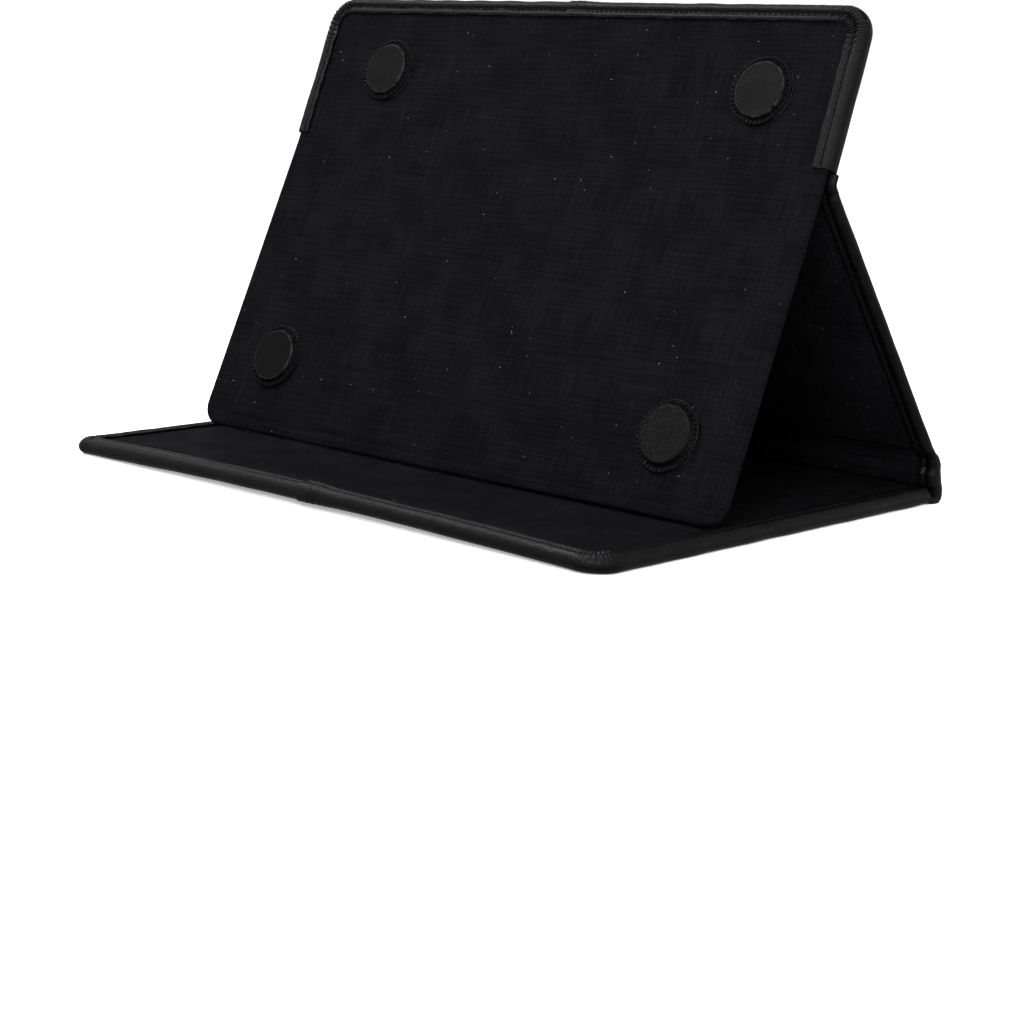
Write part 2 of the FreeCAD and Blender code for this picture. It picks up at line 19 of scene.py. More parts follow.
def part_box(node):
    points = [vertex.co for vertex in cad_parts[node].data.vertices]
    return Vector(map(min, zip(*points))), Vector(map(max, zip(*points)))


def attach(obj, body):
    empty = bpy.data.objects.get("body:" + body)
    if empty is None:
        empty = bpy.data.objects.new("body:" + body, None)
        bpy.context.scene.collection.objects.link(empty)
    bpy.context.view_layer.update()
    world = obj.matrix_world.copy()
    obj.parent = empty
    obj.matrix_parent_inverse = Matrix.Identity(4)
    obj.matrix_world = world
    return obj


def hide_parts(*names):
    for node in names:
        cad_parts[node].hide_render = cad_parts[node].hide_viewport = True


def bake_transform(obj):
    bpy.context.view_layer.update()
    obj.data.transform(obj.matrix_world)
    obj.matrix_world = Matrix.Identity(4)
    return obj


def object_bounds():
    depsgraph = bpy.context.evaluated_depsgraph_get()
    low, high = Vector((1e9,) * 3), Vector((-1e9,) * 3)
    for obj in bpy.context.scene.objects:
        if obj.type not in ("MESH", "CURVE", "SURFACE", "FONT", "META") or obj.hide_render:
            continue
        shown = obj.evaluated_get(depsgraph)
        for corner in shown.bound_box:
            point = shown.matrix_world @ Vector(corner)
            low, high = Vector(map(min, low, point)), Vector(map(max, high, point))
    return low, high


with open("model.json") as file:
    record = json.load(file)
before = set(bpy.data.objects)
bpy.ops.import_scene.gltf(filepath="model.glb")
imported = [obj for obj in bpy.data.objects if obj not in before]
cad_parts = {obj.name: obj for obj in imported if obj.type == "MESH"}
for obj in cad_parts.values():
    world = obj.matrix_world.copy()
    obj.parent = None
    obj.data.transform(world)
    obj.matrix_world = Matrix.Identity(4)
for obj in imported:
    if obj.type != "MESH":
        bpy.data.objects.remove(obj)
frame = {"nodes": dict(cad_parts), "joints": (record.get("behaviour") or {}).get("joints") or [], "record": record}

CAD_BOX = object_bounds()
MM = 0.001
WELD = 2e-6

log = logging.getLogger("tablet_case")


class Side(Enum):
    """The two halves of the case, by the sign of their place across it."""

    LEFT = -1
    RIGHT = 1


class Slot(Enum):
    """The record's material slots."""

    LEATHER = "leather"
    LINING = "lining_fabric"
    PLATE = "plate_fabric"
    THREAD = "thread"
    BOARD = "board"
    FOAM = "foam"
    FELT = "backing_felt"
    MAGNET = "magnet"


# ------------------------------------------------------------------ sizes read from the frame


def fold_point(joint: str) -> np.ndarray:
    """The fold line of a joint.

    Args:
        joint: the joint's name in the record.

    Returns:
        Its y and z in millimetres.
    """
    found = next(item for item in frame["joints"] if item["name"] == joint)
    return np.array(found["pos_m"][1:]) / MM


def mount_named(name: str) -> dict:
    """The record's mount of that name."""
    return next(item for item in frame["record"]["mounts"] if item["name"] == name)


def slope_of_mount(name: str) -> float:
    """The slope, in radians, of the panel face that a mount lies on."""
    normal = mount_named(name)["axis"]
    return math.atan2(-normal[1], normal[2])


@dataclass(frozen=True)
class CaseSizes:
    """The case's driving sizes in millimetres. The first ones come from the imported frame."""

    half_width: float = (CAD_BOX[1].x - CAD_BOX[0].x) / 2 / MM
    nose: float = CAD_BOX[0].y / MM
    cover_thickness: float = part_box("base_leather_left")[1].z / MM
    cover_fold: tuple = tuple(fold_point("base_spine_fold"))
    back_fold: tuple = tuple(fold_point("spine_back_fold"))
    crease: tuple = tuple(fold_point("crease_fold"))
    upper_slope: float = slope_of_mount("disc_face_top_left")
    plate_slope: float = slope_of_mount("disc_face_bottom_left")
    corner: float = 7.0
    border_corner: float = 3.0
    turn_in: float = 6.5
    skin: float = 0.8
    cloth: float = 0.35
    stitch_inset: float = 4.0
    plate_stitch_inset: float = 4.5
    gutter: float = 3.0
    notch: float = 4.0
    hinge_thickness: float = 2.2
    plate_gap: float = 0.3
    plate_thickness: float = 2.4
    plate_corner: float = 8.0
    plate_hem: float = 6.0
    plate_side_gap: float = 0.6
    leather: float = 0.9
    foot_setback: float = 1.0
    disc_height: float = 2.4
    card_low: float = 0.92
    card_high: float = 2.08
    lining_tuck: float = 0.7
    lining_depth: float = 0.75
    lining_crown: float = 0.54
    lining_ramp: float = 4.9
    seam_depth: float = 0.46

    @property
    def edge_reach(self) -> float:
        """The inset where a corner's radius is nothing, so that it is the border's at the border."""
        return self.turn_in * self.corner / (self.corner - self.border_corner)

    @property
    def lining_half_width(self) -> float:
        """Half the width of a lining, which is tucked under the turned borders."""
        return self.half_width - self.turn_in + self.lining_tuck

    @property
    def fold_height(self) -> float:
        """Height of the fold lines above the outer face."""
        return self.cover_fold[1]

    @property
    def back_thickness(self) -> float:
        """Thickness of the spine and the lower back."""
        return 2 * self.fold_height

    @property
    def cover_length(self) -> float:
        """Nose to cover fold."""
        return self.cover_fold[0] - self.nose

    @property
    def spine_height(self) -> float:
        """Cover fold to back fold."""
        return float(np.hypot(*np.subtract(self.back_fold, self.cover_fold)))

    @property
    def lower_back_length(self) -> float:
        """Back fold to crease."""
        return float(np.hypot(*np.subtract(self.crease, self.back_fold)))

    @property
    def upper_back_length(self) -> float:
        """Crease to top edge: closed, the top edge meets the nose."""
        return self.cover_length - self.lower_back_length

    @property
    def plate_back(self) -> float:
        """Height of the plate's back above the outer face."""
        return self.back_thickness + self.plate_gap

    @property
    def bound_thickness(self) -> float:
        """Thickness of the upper back with the plate in its binding."""
        return self.plate_back + self.plate_thickness + self.leather

    @property
    def plate_half_width(self) -> float:
        """Half the plate's width."""
        return self.half_width - self.leather - self.plate_side_gap

    @property
    def plate_tip(self) -> float:
        """Crease to the plate's top edge."""
        return self.upper_back_length - self.leather - self.plate_side_gap

    @property
    def plate_reach(self) -> float:
        """Crease to the plate's foot."""
        return self.lower_back_length - self.foot_setback


SIZES = CaseSizes()


# ------------------------------------------------------------------ curves and fields


def ease(value: np.ndarray) -> np.ndarray:
    """Smoothstep: 0 below 0, 1 above 1 and 3t^2 - 2t^3 between."""
    share = np.clip(value, 0.0, 1.0)
    return share * share * (3 - 2 * share)


def drift(seed: int, wavelength: float, *axes: np.ndarray) -> np.ndarray:
    """Smooth unevenness of handwork, about -1 to 1.

    It is the scaled sum of eight sine waves, whose directions, phases and lengths near the wavelength are
    drawn from the seed.

    Args:
        seed: the seed of the draw.
        wavelength: the usual length of a wave, in the unit of the axes.
        *axes: coordinate arrays of one shape.

    Returns:
        An array of that shape.
    """
    draw = np.random.default_rng(seed)
    total = np.zeros(np.broadcast(*axes).shape)
    for _ in range(8):
        direction = draw.normal(size=len(axes))
        direction /= np.linalg.norm(direction)
        turn = 2 * math.pi / (wavelength * draw.uniform(0.7, 1.7))
        phase = draw.uniform(0, 2 * math.pi)
        total = total + np.sin(turn * sum(k * axis for k, axis in zip(direction, axes)) + phase)
    return total / 4


def dip(place: np.ndarray, middle: float, width: float) -> np.ndarray:
    """A bell of height 1: the exponential of minus the squared distance from the middle over the width."""
    return np.exp(-(((place - middle) / width) ** 2))


def graded(length: float, coarse: float, low: float, high: float, reach: float = 12.0) -> np.ndarray:
    """Places from 0 to a length, closer together near its two ends.

    The density of places is 1/coarse plus, near each end, an eased share of 1/low or 1/high. The places are
    where its running integral passes whole steps.

    Args:
        length: the length to divide.
        coarse: spacing in the middle.
        low: spacing at the start.
        high: spacing at the finish.
        reach: how far the closer spacing goes.

    Returns:
        The places, in order.
    """
    fine = np.linspace(0.0, length, 2001)
    density = 1 / coarse + (1 / low - 1 / coarse) * (1 - ease(fine / reach))
    density = density + (1 / high - 1 / coarse) * (1 - ease((length - fine) / reach))
    total = np.concatenate(([0.0], np.cumsum((density[1:] + density[:-1]) / 2 * np.diff(fine))))
    return np.interp(np.linspace(0, total[-1], max(3, round(total[-1]) + 1)), total, fine)


# ------------------------------------------------------------------ lays: from flat panels to the frame


class Lay(Protocol):
    """Anything that puts flat panel points onto the frame."""

    def points(self, across: np.ndarray, along: np.ndarray, height: np.ndarray) -> np.ndarray:
        """Points of the row frame in metres, from millimetres across, along and above the panel."""


@dataclass(frozen=True)
class PanelLay:
    """A flat panel that hangs on a fold line: the line's y and z in mm and the panel's slope in radians."""

    fold: tuple
    slope: float

    def points(self, across: np.ndarray, along: np.ndarray, height: np.ndarray) -> np.ndarray:
        """Turn the panel by its slope about the fold line, which runs at fold height above its outer face."""
        across, along, height = np.broadcast_arrays(across, along, height)
        rise = height - SIZES.fold_height
        cos, sin = math.cos(self.slope), math.sin(self.slope)
        y = self.fold[0] + along * cos - rise * sin
        z = self.fold[1] + along * sin + rise * cos
        return np.stack((across, y, z), axis=-1) * MM


@dataclass(frozen=True)
class BowedLay:
    """The cover: flat where the plate stands on it, and bowed up a little along the middle of its nose."""

    flat: PanelLay
    bow: float = 1.9
    bow_start: float = 46.0

    def points(self, across: np.ndarray, along: np.ndarray, height: np.ndarray) -> np.ndarray:
        """The lift is the bow times a parabola across the case, eased in over the last stretch to the nose.

        Nothing goes below the outer face, which rests on the table.
        """
        height = np.maximum(height, 0.0)
        crest = 1 - (across / SIZES.half_width) ** 2
        share = ease((self.bow_start - SIZES.cover_length - along) / self.bow_start)
        return self.flat.points(across, along, height + self.bow * crest * share)


@dataclass(frozen=True)
class FoldLay:
    """Leather that runs from one panel round a fold onto the next. Along is measured on the outer face."""

    fold: tuple
    slope_before: float
    slope_after: float
    before: float
    after: float
    radius: float

    @property
    def turn(self) -> float:
        """The angle between the panels, positive where the outer face is on the outside of the bend."""
        return self.slope_after - self.slope_before

    @property
    def reach_out(self) -> float:
        """From a panel's foot point on to where the outer faces meet, less the bend's tangent."""
        return (SIZES.fold_height - self.radius * np.sign(self.turn)) * math.tan(self.turn / 2)

    @property
    def run_before(self) -> float:
        """Straight run on the first panel."""
        return self.before + self.reach_out

    @property
    def arc(self) -> float:
        """Length of the bend."""
        return self.radius * abs(self.turn)

    @property
    def run_after(self) -> float:
        """Straight run on the second panel."""
        return self.after + self.reach_out

    @property
    def length(self) -> float:
        """Whole length along the outer face."""
        return self.run_before + self.arc + self.run_after

    def points(self, across: np.ndarray, along: np.ndarray, height: np.ndarray) -> np.ndarray:
        """Add up a straight run, the integral of the turning direction and another run."""
        across, along, height = np.broadcast_arrays(across, along, height)
        first = np.minimum(along, self.run_before)
        bend = np.clip(along - self.run_before, 0, self.arc)
        last = np.maximum(along - self.run_before - self.arc, 0)
        curve = self.arc / self.turn
        slope = self.slope_before + bend / curve
        in_y, in_z = math.cos(self.slope_before), math.sin(self.slope_before)
        out_y, out_z = math.cos(self.slope_after), math.sin(self.slope_after)
        y = self.fold[0] + SIZES.fold_height * in_z + (first - self.before) * in_y
        z = self.fold[1] - SIZES.fold_height * in_y + (first - self.before) * in_z
        y = y + curve * (np.sin(slope) - in_z) + last * out_y - height * np.sin(slope)
        z = z - curve * (np.cos(slope) - in_y) + last * out_z + height * np.cos(slope)
        z = np.maximum(z, 0.0)
        return np.stack((across, y, z), axis=-1) * MM

    def gates(self, reach: float) -> tuple[Vector, Vector]:
        """Two points before and after the fold line on the bisector of the two panels.

        Args:
            reach: their distance from the fold line, in millimetres.

        Returns:
            The two points in metres.
        """
        middle = (self.slope_before + self.slope_after) / 2
        step = Vector((0, math.cos(middle), math.sin(middle))) * reach
        fold = Vector((0, *self.fold))
        return (fold - step) * MM, (fold + step) * MM


@dataclass(frozen=True)
class PlateLay:
    """The plate in the holder's frame: flat in the binding, and bent towards the tablet below the crease."""

    holder: PanelLay
    kink: float
    softness: float = 3.0

    def points(self, across: np.ndarray, along: np.ndarray, height: np.ndarray) -> np.ndarray:
        """Height is above the plate's back. The bend turns evenly from +softness to -softness along."""
        across, along, height = np.broadcast_arrays(across, along, height)
        soft = self.softness
        turn = self.kink * np.clip((soft - along) / (2 * soft), 0, 1)
        bulge = self.kink * np.clip(soft - along, 0, 2 * soft) ** 2 / (4 * soft)
        rise = np.where(along < -soft, -along * math.sin(self.kink), bulge)
        run = np.where(along < 0, along * math.cos(self.kink), along)
        return self.holder.points(across, run + height * np.sin(turn),
                                  SIZES.plate_back + rise + height * np.cos(turn))


def slope_between(start: Sequence[float], finish: Sequence[float]) -> float:
    """The slope of the line from one fold to the next, in radians."""
    return math.atan2(finish[1] - start[1], finish[0] - start[0])


SPINE_SLOPE = slope_between(SIZES.cover_fold, SIZES.back_fold)
LOWER_SLOPE = slope_between(SIZES.back_fold, SIZES.crease)

COVER_LAY = BowedLay(PanelLay(SIZES.cover_fold, 0.0))
SPINE_LAY = PanelLay(SIZES.cover_fold, SPINE_SLOPE)
LOWER_BACK_LAY = PanelLay(SIZES.back_fold, LOWER_SLOPE)
HOLDER_LAY = PanelLay(SIZES.crease, SIZES.upper_slope)
PLATE_LAY = PlateLay(HOLDER_LAY, SIZES.upper_slope - SIZES.plate_slope)


# ------------------------------------------------------------------ meshes


@dataclass
class Patch:
    """A grid of points in metres, with a flat pattern place and a share of rubbing and painted highlight at each.
    """

    points: np.ndarray
    flat: np.ndarray
    wear: np.ndarray
    flip: bool = False


def patch(lay: Lay, across: np.ndarray, along: np.ndarray, height: np.ndarray, flip: bool,
          flat: tuple | None = None, wear: np.ndarray | float = 0.0) -> Patch:
    """A patch from panel coordinates.

    Args:
        lay: what puts the panel onto the frame.
        across: places across the case in mm.
        along: places along the panel in mm.
        height: heights above the outer face in mm.
        flip: turn the faces over.
        flat: the cloth's or leather's own flat coordinates in mm, or None for across and along.
        wear: share of rubbing and painted highlight, 0 to 1.

    Returns:
        The patch.
    """
    across, along, height = np.broadcast_arrays(across, along, height)
    u, v = flat if flat else (across, along)
    pattern = np.stack(np.broadcast_arrays(u * MM, v * MM, across)[:2], axis=-1)
    return Patch(lay.points(across, along, height), pattern, np.broadcast_to(wear, across.shape), flip)


def grid_faces(rows: int, columns: int, flip: bool, first: int = 0) -> np.ndarray:
    """The quads of a grid of vertices, numbered row by row.

    Args:
        rows: the grid's rows.
        columns: the grid's columns.
        flip: turn the faces over.
        first: the first vertex's number.

    Returns:
        Four vertex numbers for each quad.
    """
    number = first + np.arange(rows * columns).reshape(rows, columns)
    corners = [number[:-1, :-1], number[1:, :-1], number[1:, 1:], number[:-1, 1:]]
    if flip:
        corners.reverse()
    return np.stack(corners, axis=-1).reshape(-1, 4)


def mesh_object(name: str, vertices: np.ndarray, faces: np.ndarray, flat: np.ndarray,
                wear: np.ndarray) -> bpy.types.Object:
    """A smooth-shaded mesh object at the origin, with a UV map and an attribute of rubbing and painted highlight.

    Args:
        name: the object's name.
        vertices: their places in metres.
        faces: four vertex numbers for each quad.
        flat: the flat pattern's place of each vertex, for the UV map.
        wear: the share of rubbing and painted highlight at each vertex.

    Returns:
        The linked object.
    """
    mesh = bpy.data.meshes.new(name)
    mesh.vertices.add(len(vertices))
    mesh.vertices.foreach_set("co", vertices.astype(np.float32).ravel())
    mesh.loops.add(faces.size)
    mesh.loops.foreach_set("vertex_index", faces.astype(np.int32).ravel())
    mesh.polygons.add(len(faces))
    mesh.polygons.foreach_set("loop_start", np.arange(0, faces.size, 4, dtype=np.int32))
    mesh.polygons.foreach_set("loop_total", np.full(len(faces), 4, dtype=np.int32))
    mesh.polygons.foreach_set("use_smooth", np.ones(len(faces), dtype=bool))
    mesh.update(calc_edges=True)
    mesh.uv_layers.new(name="flat").data.foreach_set("uv", flat[faces.ravel()].astype(np.float32).ravel())
    mesh.attributes.new("wear", "FLOAT", "POINT").data.foreach_set("value", wear.astype(np.float32))
    thing = bpy.data.objects.new(name, mesh)
    bpy.context.scene.collection.objects.link(thing)
    return thing


def weld(thing: bpy.types.Object) -> None:
    """Join the patches where they meet and close the points where a ring shrinks to nothing.

    Args:
        thing: the mesh object.
    """
    work = bmesh.new()
    work.from_mesh(thing.data)
    bmesh.ops.remove_doubles(work, verts=work.verts, dist=WELD)
    bmesh.ops.dissolve_degenerate(work, dist=WELD / 4, edges=work.edges)
    work.to_mesh(thing.data)
    work.free()


def join(name: str, patches: Iterable[Patch]) -> bpy.types.Object:
    """One welded mesh object from several patches.

    Args:
        name: the object's name.
        patches: the patches, whose edges meet.

    Returns:
        The object.
    """
    vertices, faces, flats, wears, first = [], [], [], [], 0
    for item in patches:
        rows, columns = item.points.shape[:2]
        faces.append(grid_faces(rows, columns, item.flip, first))
        vertices.append(item.points.reshape(-1, 3))
        flats.append(item.flat.reshape(-1, 2))
        wears.append(item.wear.reshape(-1))
        first += rows * columns
    thing = mesh_object(name, np.concatenate(vertices), np.concatenate(faces), np.concatenate(flats),
                        np.concatenate(wears))
    weld(thing)
    return thing


def give_wall(thing: bpy.types.Object, thickness: float) -> None:
    """Give a skin or a cloth its thickness, inwards from the surface that shows."""
    wall = thing.modifiers.new("wall", "SOLIDIFY")
    wall.thickness = thickness * MM
    wall.offset = -1
    wall.use_even_offset = False


# ------------------------------------------------------------------ node groups and finishes


class Nodes:
    """A small writer for node trees."""

    def __init__(self, tree: bpy.types.NodeTree) -> None:
        """Keep the tree that the nodes go into."""
        self.tree = tree

    def add(self, kind: str, **settings: object) -> bpy.types.Node:
        """Add a node.

        Args:
            kind: the node's type.
            **settings: values for the input sockets of those names, or else for the node's properties.

        Returns:
            The node.
        """
        node = self.tree.nodes.new(kind)
        for name, value in settings.items():
            socket = node.inputs.get(name.title())
            if socket is None:
                setattr(node, name, value)
            else:
                self.feed(socket, value)
        return node

    def feed(self, socket: bpy.types.NodeSocket, value: object) -> None:
        """Link another socket to this one, or set its default value."""
        if isinstance(value, bpy.types.NodeSocket):
            self.tree.links.new(value, socket)
        else:
            socket.default_value = value

    def math(self, operation: str, *values: object, clamp: bool = False) -> bpy.types.NodeSocket:
        """The result of a Math node.

        Args:
            operation: what it works out.
            *values: sockets or numbers.
            clamp: keep the result between 0 and 1.

        Returns:
            The output socket.
        """
        node = self.tree.nodes.new("ShaderNodeMath")
        node.operation = operation
        node.use_clamp = clamp
        for socket, value in zip(node.inputs, values):
            self.feed(socket, value)
        return node.outputs[0]

    def blend(self, share: object, low: object, high: object) -> bpy.types.NodeSocket:
        """A colour between two colours.

        Args:
            share: 0 for the low colour, 1 for the high one.
            low: the low colour.
            high: the high colour.

        Returns:
            The output socket.
        """
        node = self.tree.nodes.new("ShaderNodeMix")
        node.data_type = "RGBA"
        self.feed(node.inputs["Factor"], share)
        self.feed(node.inputs[6], low)
        self.feed(node.inputs[7], high)
        return node.outputs[2]

    def band(self, value: object, low: float, high: float, to_low: object = 0.0,
             to_high: object = 1.0) -> bpy.types.NodeSocket:
        """A value eased from one range to another.

        Args:
            value: the value.
            low: its value at the start of the ease.
            high: its value at the end.
            to_low: the result up to the start.
            to_high: the result past the end.

        Returns:
            The output socket.
        """
        node = self.tree.nodes.new("ShaderNodeMapRange")
        node.interpolation_type = "SMOOTHSTEP"
        for name, item in (("Value", value), ("From Min", low), ("From Max", high), ("To Min", to_low),
                           ("To Max", to_high)):
            self.feed(node.inputs[name], item)
        return node.outputs[0]


def new_group(name: str, inputs: dict[str, float | str], outputs: Sequence[str]) -> tuple:
    """A shader node group with named sockets.

    Args:
        name: the group's name.
        inputs: socket names with a default number, or "vector".
        outputs: names of the number outputs.

    Returns:
        The group, a writer for it, its input node and its output node.
    """
    group = bpy.data.node_groups.new(name, "ShaderNodeTree")
    for socket, default in inputs.items():
        kind = "NodeSocketVector" if default == "vector" else "NodeSocketFloat"
        made = group.interface.new_socket(name=socket, in_out="INPUT", socket_type=kind)
        if default != "vector":
            made.default_value = default
    for socket in outputs:
        group.interface.new_socket(name=socket, in_out="OUTPUT", socket_type="NodeSocketFloat")
    writer = Nodes(group)
    return group, writer, writer.add("NodeGroupInput"), writer.add("NodeGroupOutput")


def grain_group() -> bpy.types.NodeTree:
    """Leather grain: pebbles between fine creases, a second finer set, and broad patches of tone.

    Returns:
        The group.
    """
    group, nodes, given, made = new_group(
        "leather_grain", {"Vector": "vector", "Cell": 0.0009, "Crease": 0.16, "Blotch": 0.02},
        ["Height", "Tone", "Patch"])
    scale = nodes.math("DIVIDE", 1.0, given.outputs["Cell"])
    bend = nodes.add("ShaderNodeTexNoise", vector=given.outputs["Vector"],
                     scale=nodes.math("MULTIPLY", scale, 0.6), detail=2.0)
    shift = nodes.add("ShaderNodeVectorMath", operation="SCALE")
    nodes.feed(shift.inputs[0], bend.outputs["Color"])
    nodes.feed(shift.inputs["Scale"], nodes.math("MULTIPLY", given.outputs["Cell"], 0.9))
    place = nodes.add("ShaderNodeVectorMath", operation="ADD")
    nodes.feed(place.inputs[0], given.outputs["Vector"])
    nodes.feed(place.inputs[1], shift.outputs[0])
    heights = []
    for finer, share in ((1.0, 0.7), (2.3, 0.3)):
        cells = nodes.add("ShaderNodeTexVoronoi", feature="DISTANCE_TO_EDGE", vector=place.outputs[0],
                          scale=nodes.math("MULTIPLY", scale, finer))
        heights.append(nodes.math("MULTIPLY", nodes.band(cells.outputs["Distance"], 0.0,
                                                         given.outputs["Crease"]), share))
    height = nodes.math("ADD", heights[0], heights[1])
    pores = nodes.add("ShaderNodeTexNoise", vector=given.outputs["Vector"],
                      scale=nodes.math("MULTIPLY", scale, 4.0), detail=3.0)
    blotch = nodes.add("ShaderNodeTexNoise", vector=given.outputs["Vector"],
                       scale=nodes.math("DIVIDE", 1.0, given.outputs["Blotch"]), detail=4.0)
    fine = nodes.math("MULTIPLY", pores.outputs[0], 0.25)
    nodes.feed(made.inputs["Height"], nodes.math("ADD", height, fine))
    nodes.feed(made.inputs["Tone"], height)
    nodes.feed(made.inputs["Patch"], nodes.band(blotch.outputs[0], 0.35, 0.68))
    return group


def weave_group() -> bpy.types.NodeTree:
    """A plain weave: warp and weft threads that pass over and under, with thick and thin yarns.

    Returns:
        The group.
    """
    group, nodes, given, made = new_group(
        "plain_weave", {"Vector": "vector", "Pitch": 0.0005, "Slub": 0.5, "Blotch": 0.02},
        ["Height", "Tone", "Patch"])
    apart = nodes.add("ShaderNodeSeparateXYZ", vector=given.outputs["Vector"])
    turns = nodes.math("DIVIDE", math.pi, given.outputs["Pitch"])
    wander = nodes.add("ShaderNodeTexNoise", vector=given.outputs["Vector"], scale=260.0, detail=2.0)
    sway = nodes.math("MULTIPLY", nodes.math("SUBTRACT", wander.outputs[0], 0.5), 2.2)
    waves = [nodes.math("SINE", nodes.math("ADD", nodes.math("MULTIPLY", apart.outputs[axis], turns), sway))
             for axis in (0, 1)]
    over = nodes.math("GREATER_THAN", nodes.math("MULTIPLY", waves[0], waves[1]), 0.0)
    yarns = []
    for stretch in ((1.0, 0.035, 1.0), (0.035, 1.0, 1.0)):
        pulled = nodes.add("ShaderNodeVectorMath", operation="MULTIPLY")
        nodes.feed(pulled.inputs[0], given.outputs["Vector"])
        nodes.feed(pulled.inputs[1], stretch)
        yarn = nodes.add("ShaderNodeTexNoise", vector=pulled.outputs[0],
                         scale=nodes.math("DIVIDE", 0.75, given.outputs["Pitch"]), detail=3.0)
        yarns.append(yarn.outputs[0])
    crowns = [nodes.math("MULTIPLY", nodes.math("ABSOLUTE", wave), nodes.math("ADD", yarn, 0.5))
              for wave, yarn in zip(waves, yarns)]
    height = nodes.math("ADD", nodes.math("MULTIPLY", over, crowns[0]),
                        nodes.math("MULTIPLY", nodes.math("SUBTRACT", 1.0, over), crowns[1]))
    yarn_tone = nodes.math("MULTIPLY", nodes.math("ADD", yarns[0], yarns[1]), 0.5)
    blotch = nodes.add("ShaderNodeTexNoise", vector=given.outputs["Vector"],
                       scale=nodes.math("DIVIDE", 1.0, given.outputs["Blotch"]), detail=5.0)
    slub = nodes.math("MULTIPLY", nodes.band(yarn_tone, 0.38, 0.64), given.outputs["Slub"])
    nodes.feed(made.inputs["Height"], nodes.math("ADD", height, nodes.math("MULTIPLY", slub, 0.8)))
    nodes.feed(made.inputs["Tone"], nodes.math("ADD", nodes.math("MULTIPLY", height, 0.6), slub, clamp=True))
    nodes.feed(made.inputs["Patch"], nodes.band(blotch.outputs[0], 0.36, 0.66))
    return group


def lint_group() -> bpy.types.NodeTree:
    """Sparse specks of lint: the middles of a few cells of a Voronoi pattern.

    Returns:
        The group.
    """
    group, nodes, given, made = new_group(
        "lint", {"Vector": "vector", "Spacing": 0.006, "Size": 0.05, "Share": 0.3}, ["Mask"])
    cells = nodes.add("ShaderNodeTexVoronoi", feature="F1", vector=given.outputs["Vector"],
                      scale=nodes.math("DIVIDE", 1.0, given.outputs["Spacing"]))
    pick = nodes.add("ShaderNodeSeparateColor", color=cells.outputs["Color"])
    near = nodes.math("LESS_THAN", cells.outputs["Distance"],
                      nodes.math("MULTIPLY", given.outputs["Size"], pick.outputs[1]))
    chosen = nodes.math("LESS_THAN", pick.outputs[0], given.outputs["Share"])
    nodes.feed(made.inputs["Mask"], nodes.math("MULTIPLY", near, chosen))
    return group


def wear_group() -> bpy.types.NodeTree:
    """Rubbed ridges with a painted highlight: the mesh's attribute of rubbing and highlight, broken up by noise.

    Returns:
        The group.
    """
    group, nodes, given, made = new_group(
        "edge_wear", {"Wear": 0.0, "Vector": "vector", "Amount": 0.6}, ["Mask"])
    patchy = nodes.add("ShaderNodeTexNoise", vector=given.outputs["Vector"], scale=420.0, detail=4.0)
    share = nodes.math("MULTIPLY", given.outputs["Wear"], nodes.band(patchy.outputs[0], 0.3, 0.7))
    nodes.feed(made.inputs["Mask"], nodes.math("MULTIPLY", share, given.outputs["Amount"], clamp=True))
    return group


def colour(red: float, green: float, blue: float) -> tuple:
    """An opaque linear colour."""
    return (red, green, blue, 1.0)


@dataclass(frozen=True)
class Finish:
    """What every finish shares: a material with a Principled shader, made once."""

    name: str
    slot: Slot

    def material(self) -> bpy.types.Material:
        """Make the finish's material, the first time that it is asked for.

        Returns:
            The material.
        """
        title = f"{self.name}_finish"
        made = bpy.data.materials.get(title)
        if made is None:
            made = bpy.data.materials.new(title)
            made.use_nodes = True
            made.node_tree.nodes.clear()
            nodes = Nodes(made.node_tree)
            shader = nodes.add("ShaderNodeBsdfPrincipled")
            output = nodes.add("ShaderNodeOutputMaterial")
            nodes.feed(output.inputs["Surface"], shader.outputs[0])
            self.dress(nodes, shader)
        return made

    def dress(self, nodes: Nodes, shader: bpy.types.Node) -> None:
        """Set and feed the shader's sockets. Each finish has its own."""
        raise NotImplementedError

    def group(self, nodes: Nodes, name: str, **values: object) -> bpy.types.Node:
        """Place a shared group with this finish's own values.

        Args:
            nodes: the writer of the material's tree.
            name: the group's name.
            **values: values or sockets for its inputs.

        Returns:
            The group's node.
        """
        node = nodes.add("ShaderNodeGroup")
        node.node_tree = bpy.data.node_groups[name]
        for socket, value in values.items():
            nodes.feed(node.inputs[socket.title()], value)
        return node

    def bump(self, nodes: Nodes, shader: bpy.types.Node, height: object, depth: float) -> None:
        """Raise the surface by a height pattern, its full height being a depth in millimetres."""
        bump = nodes.add("ShaderNodeBump", height=height, distance=depth * MM)
        nodes.feed(shader.inputs["Normal"], bump.outputs[0])


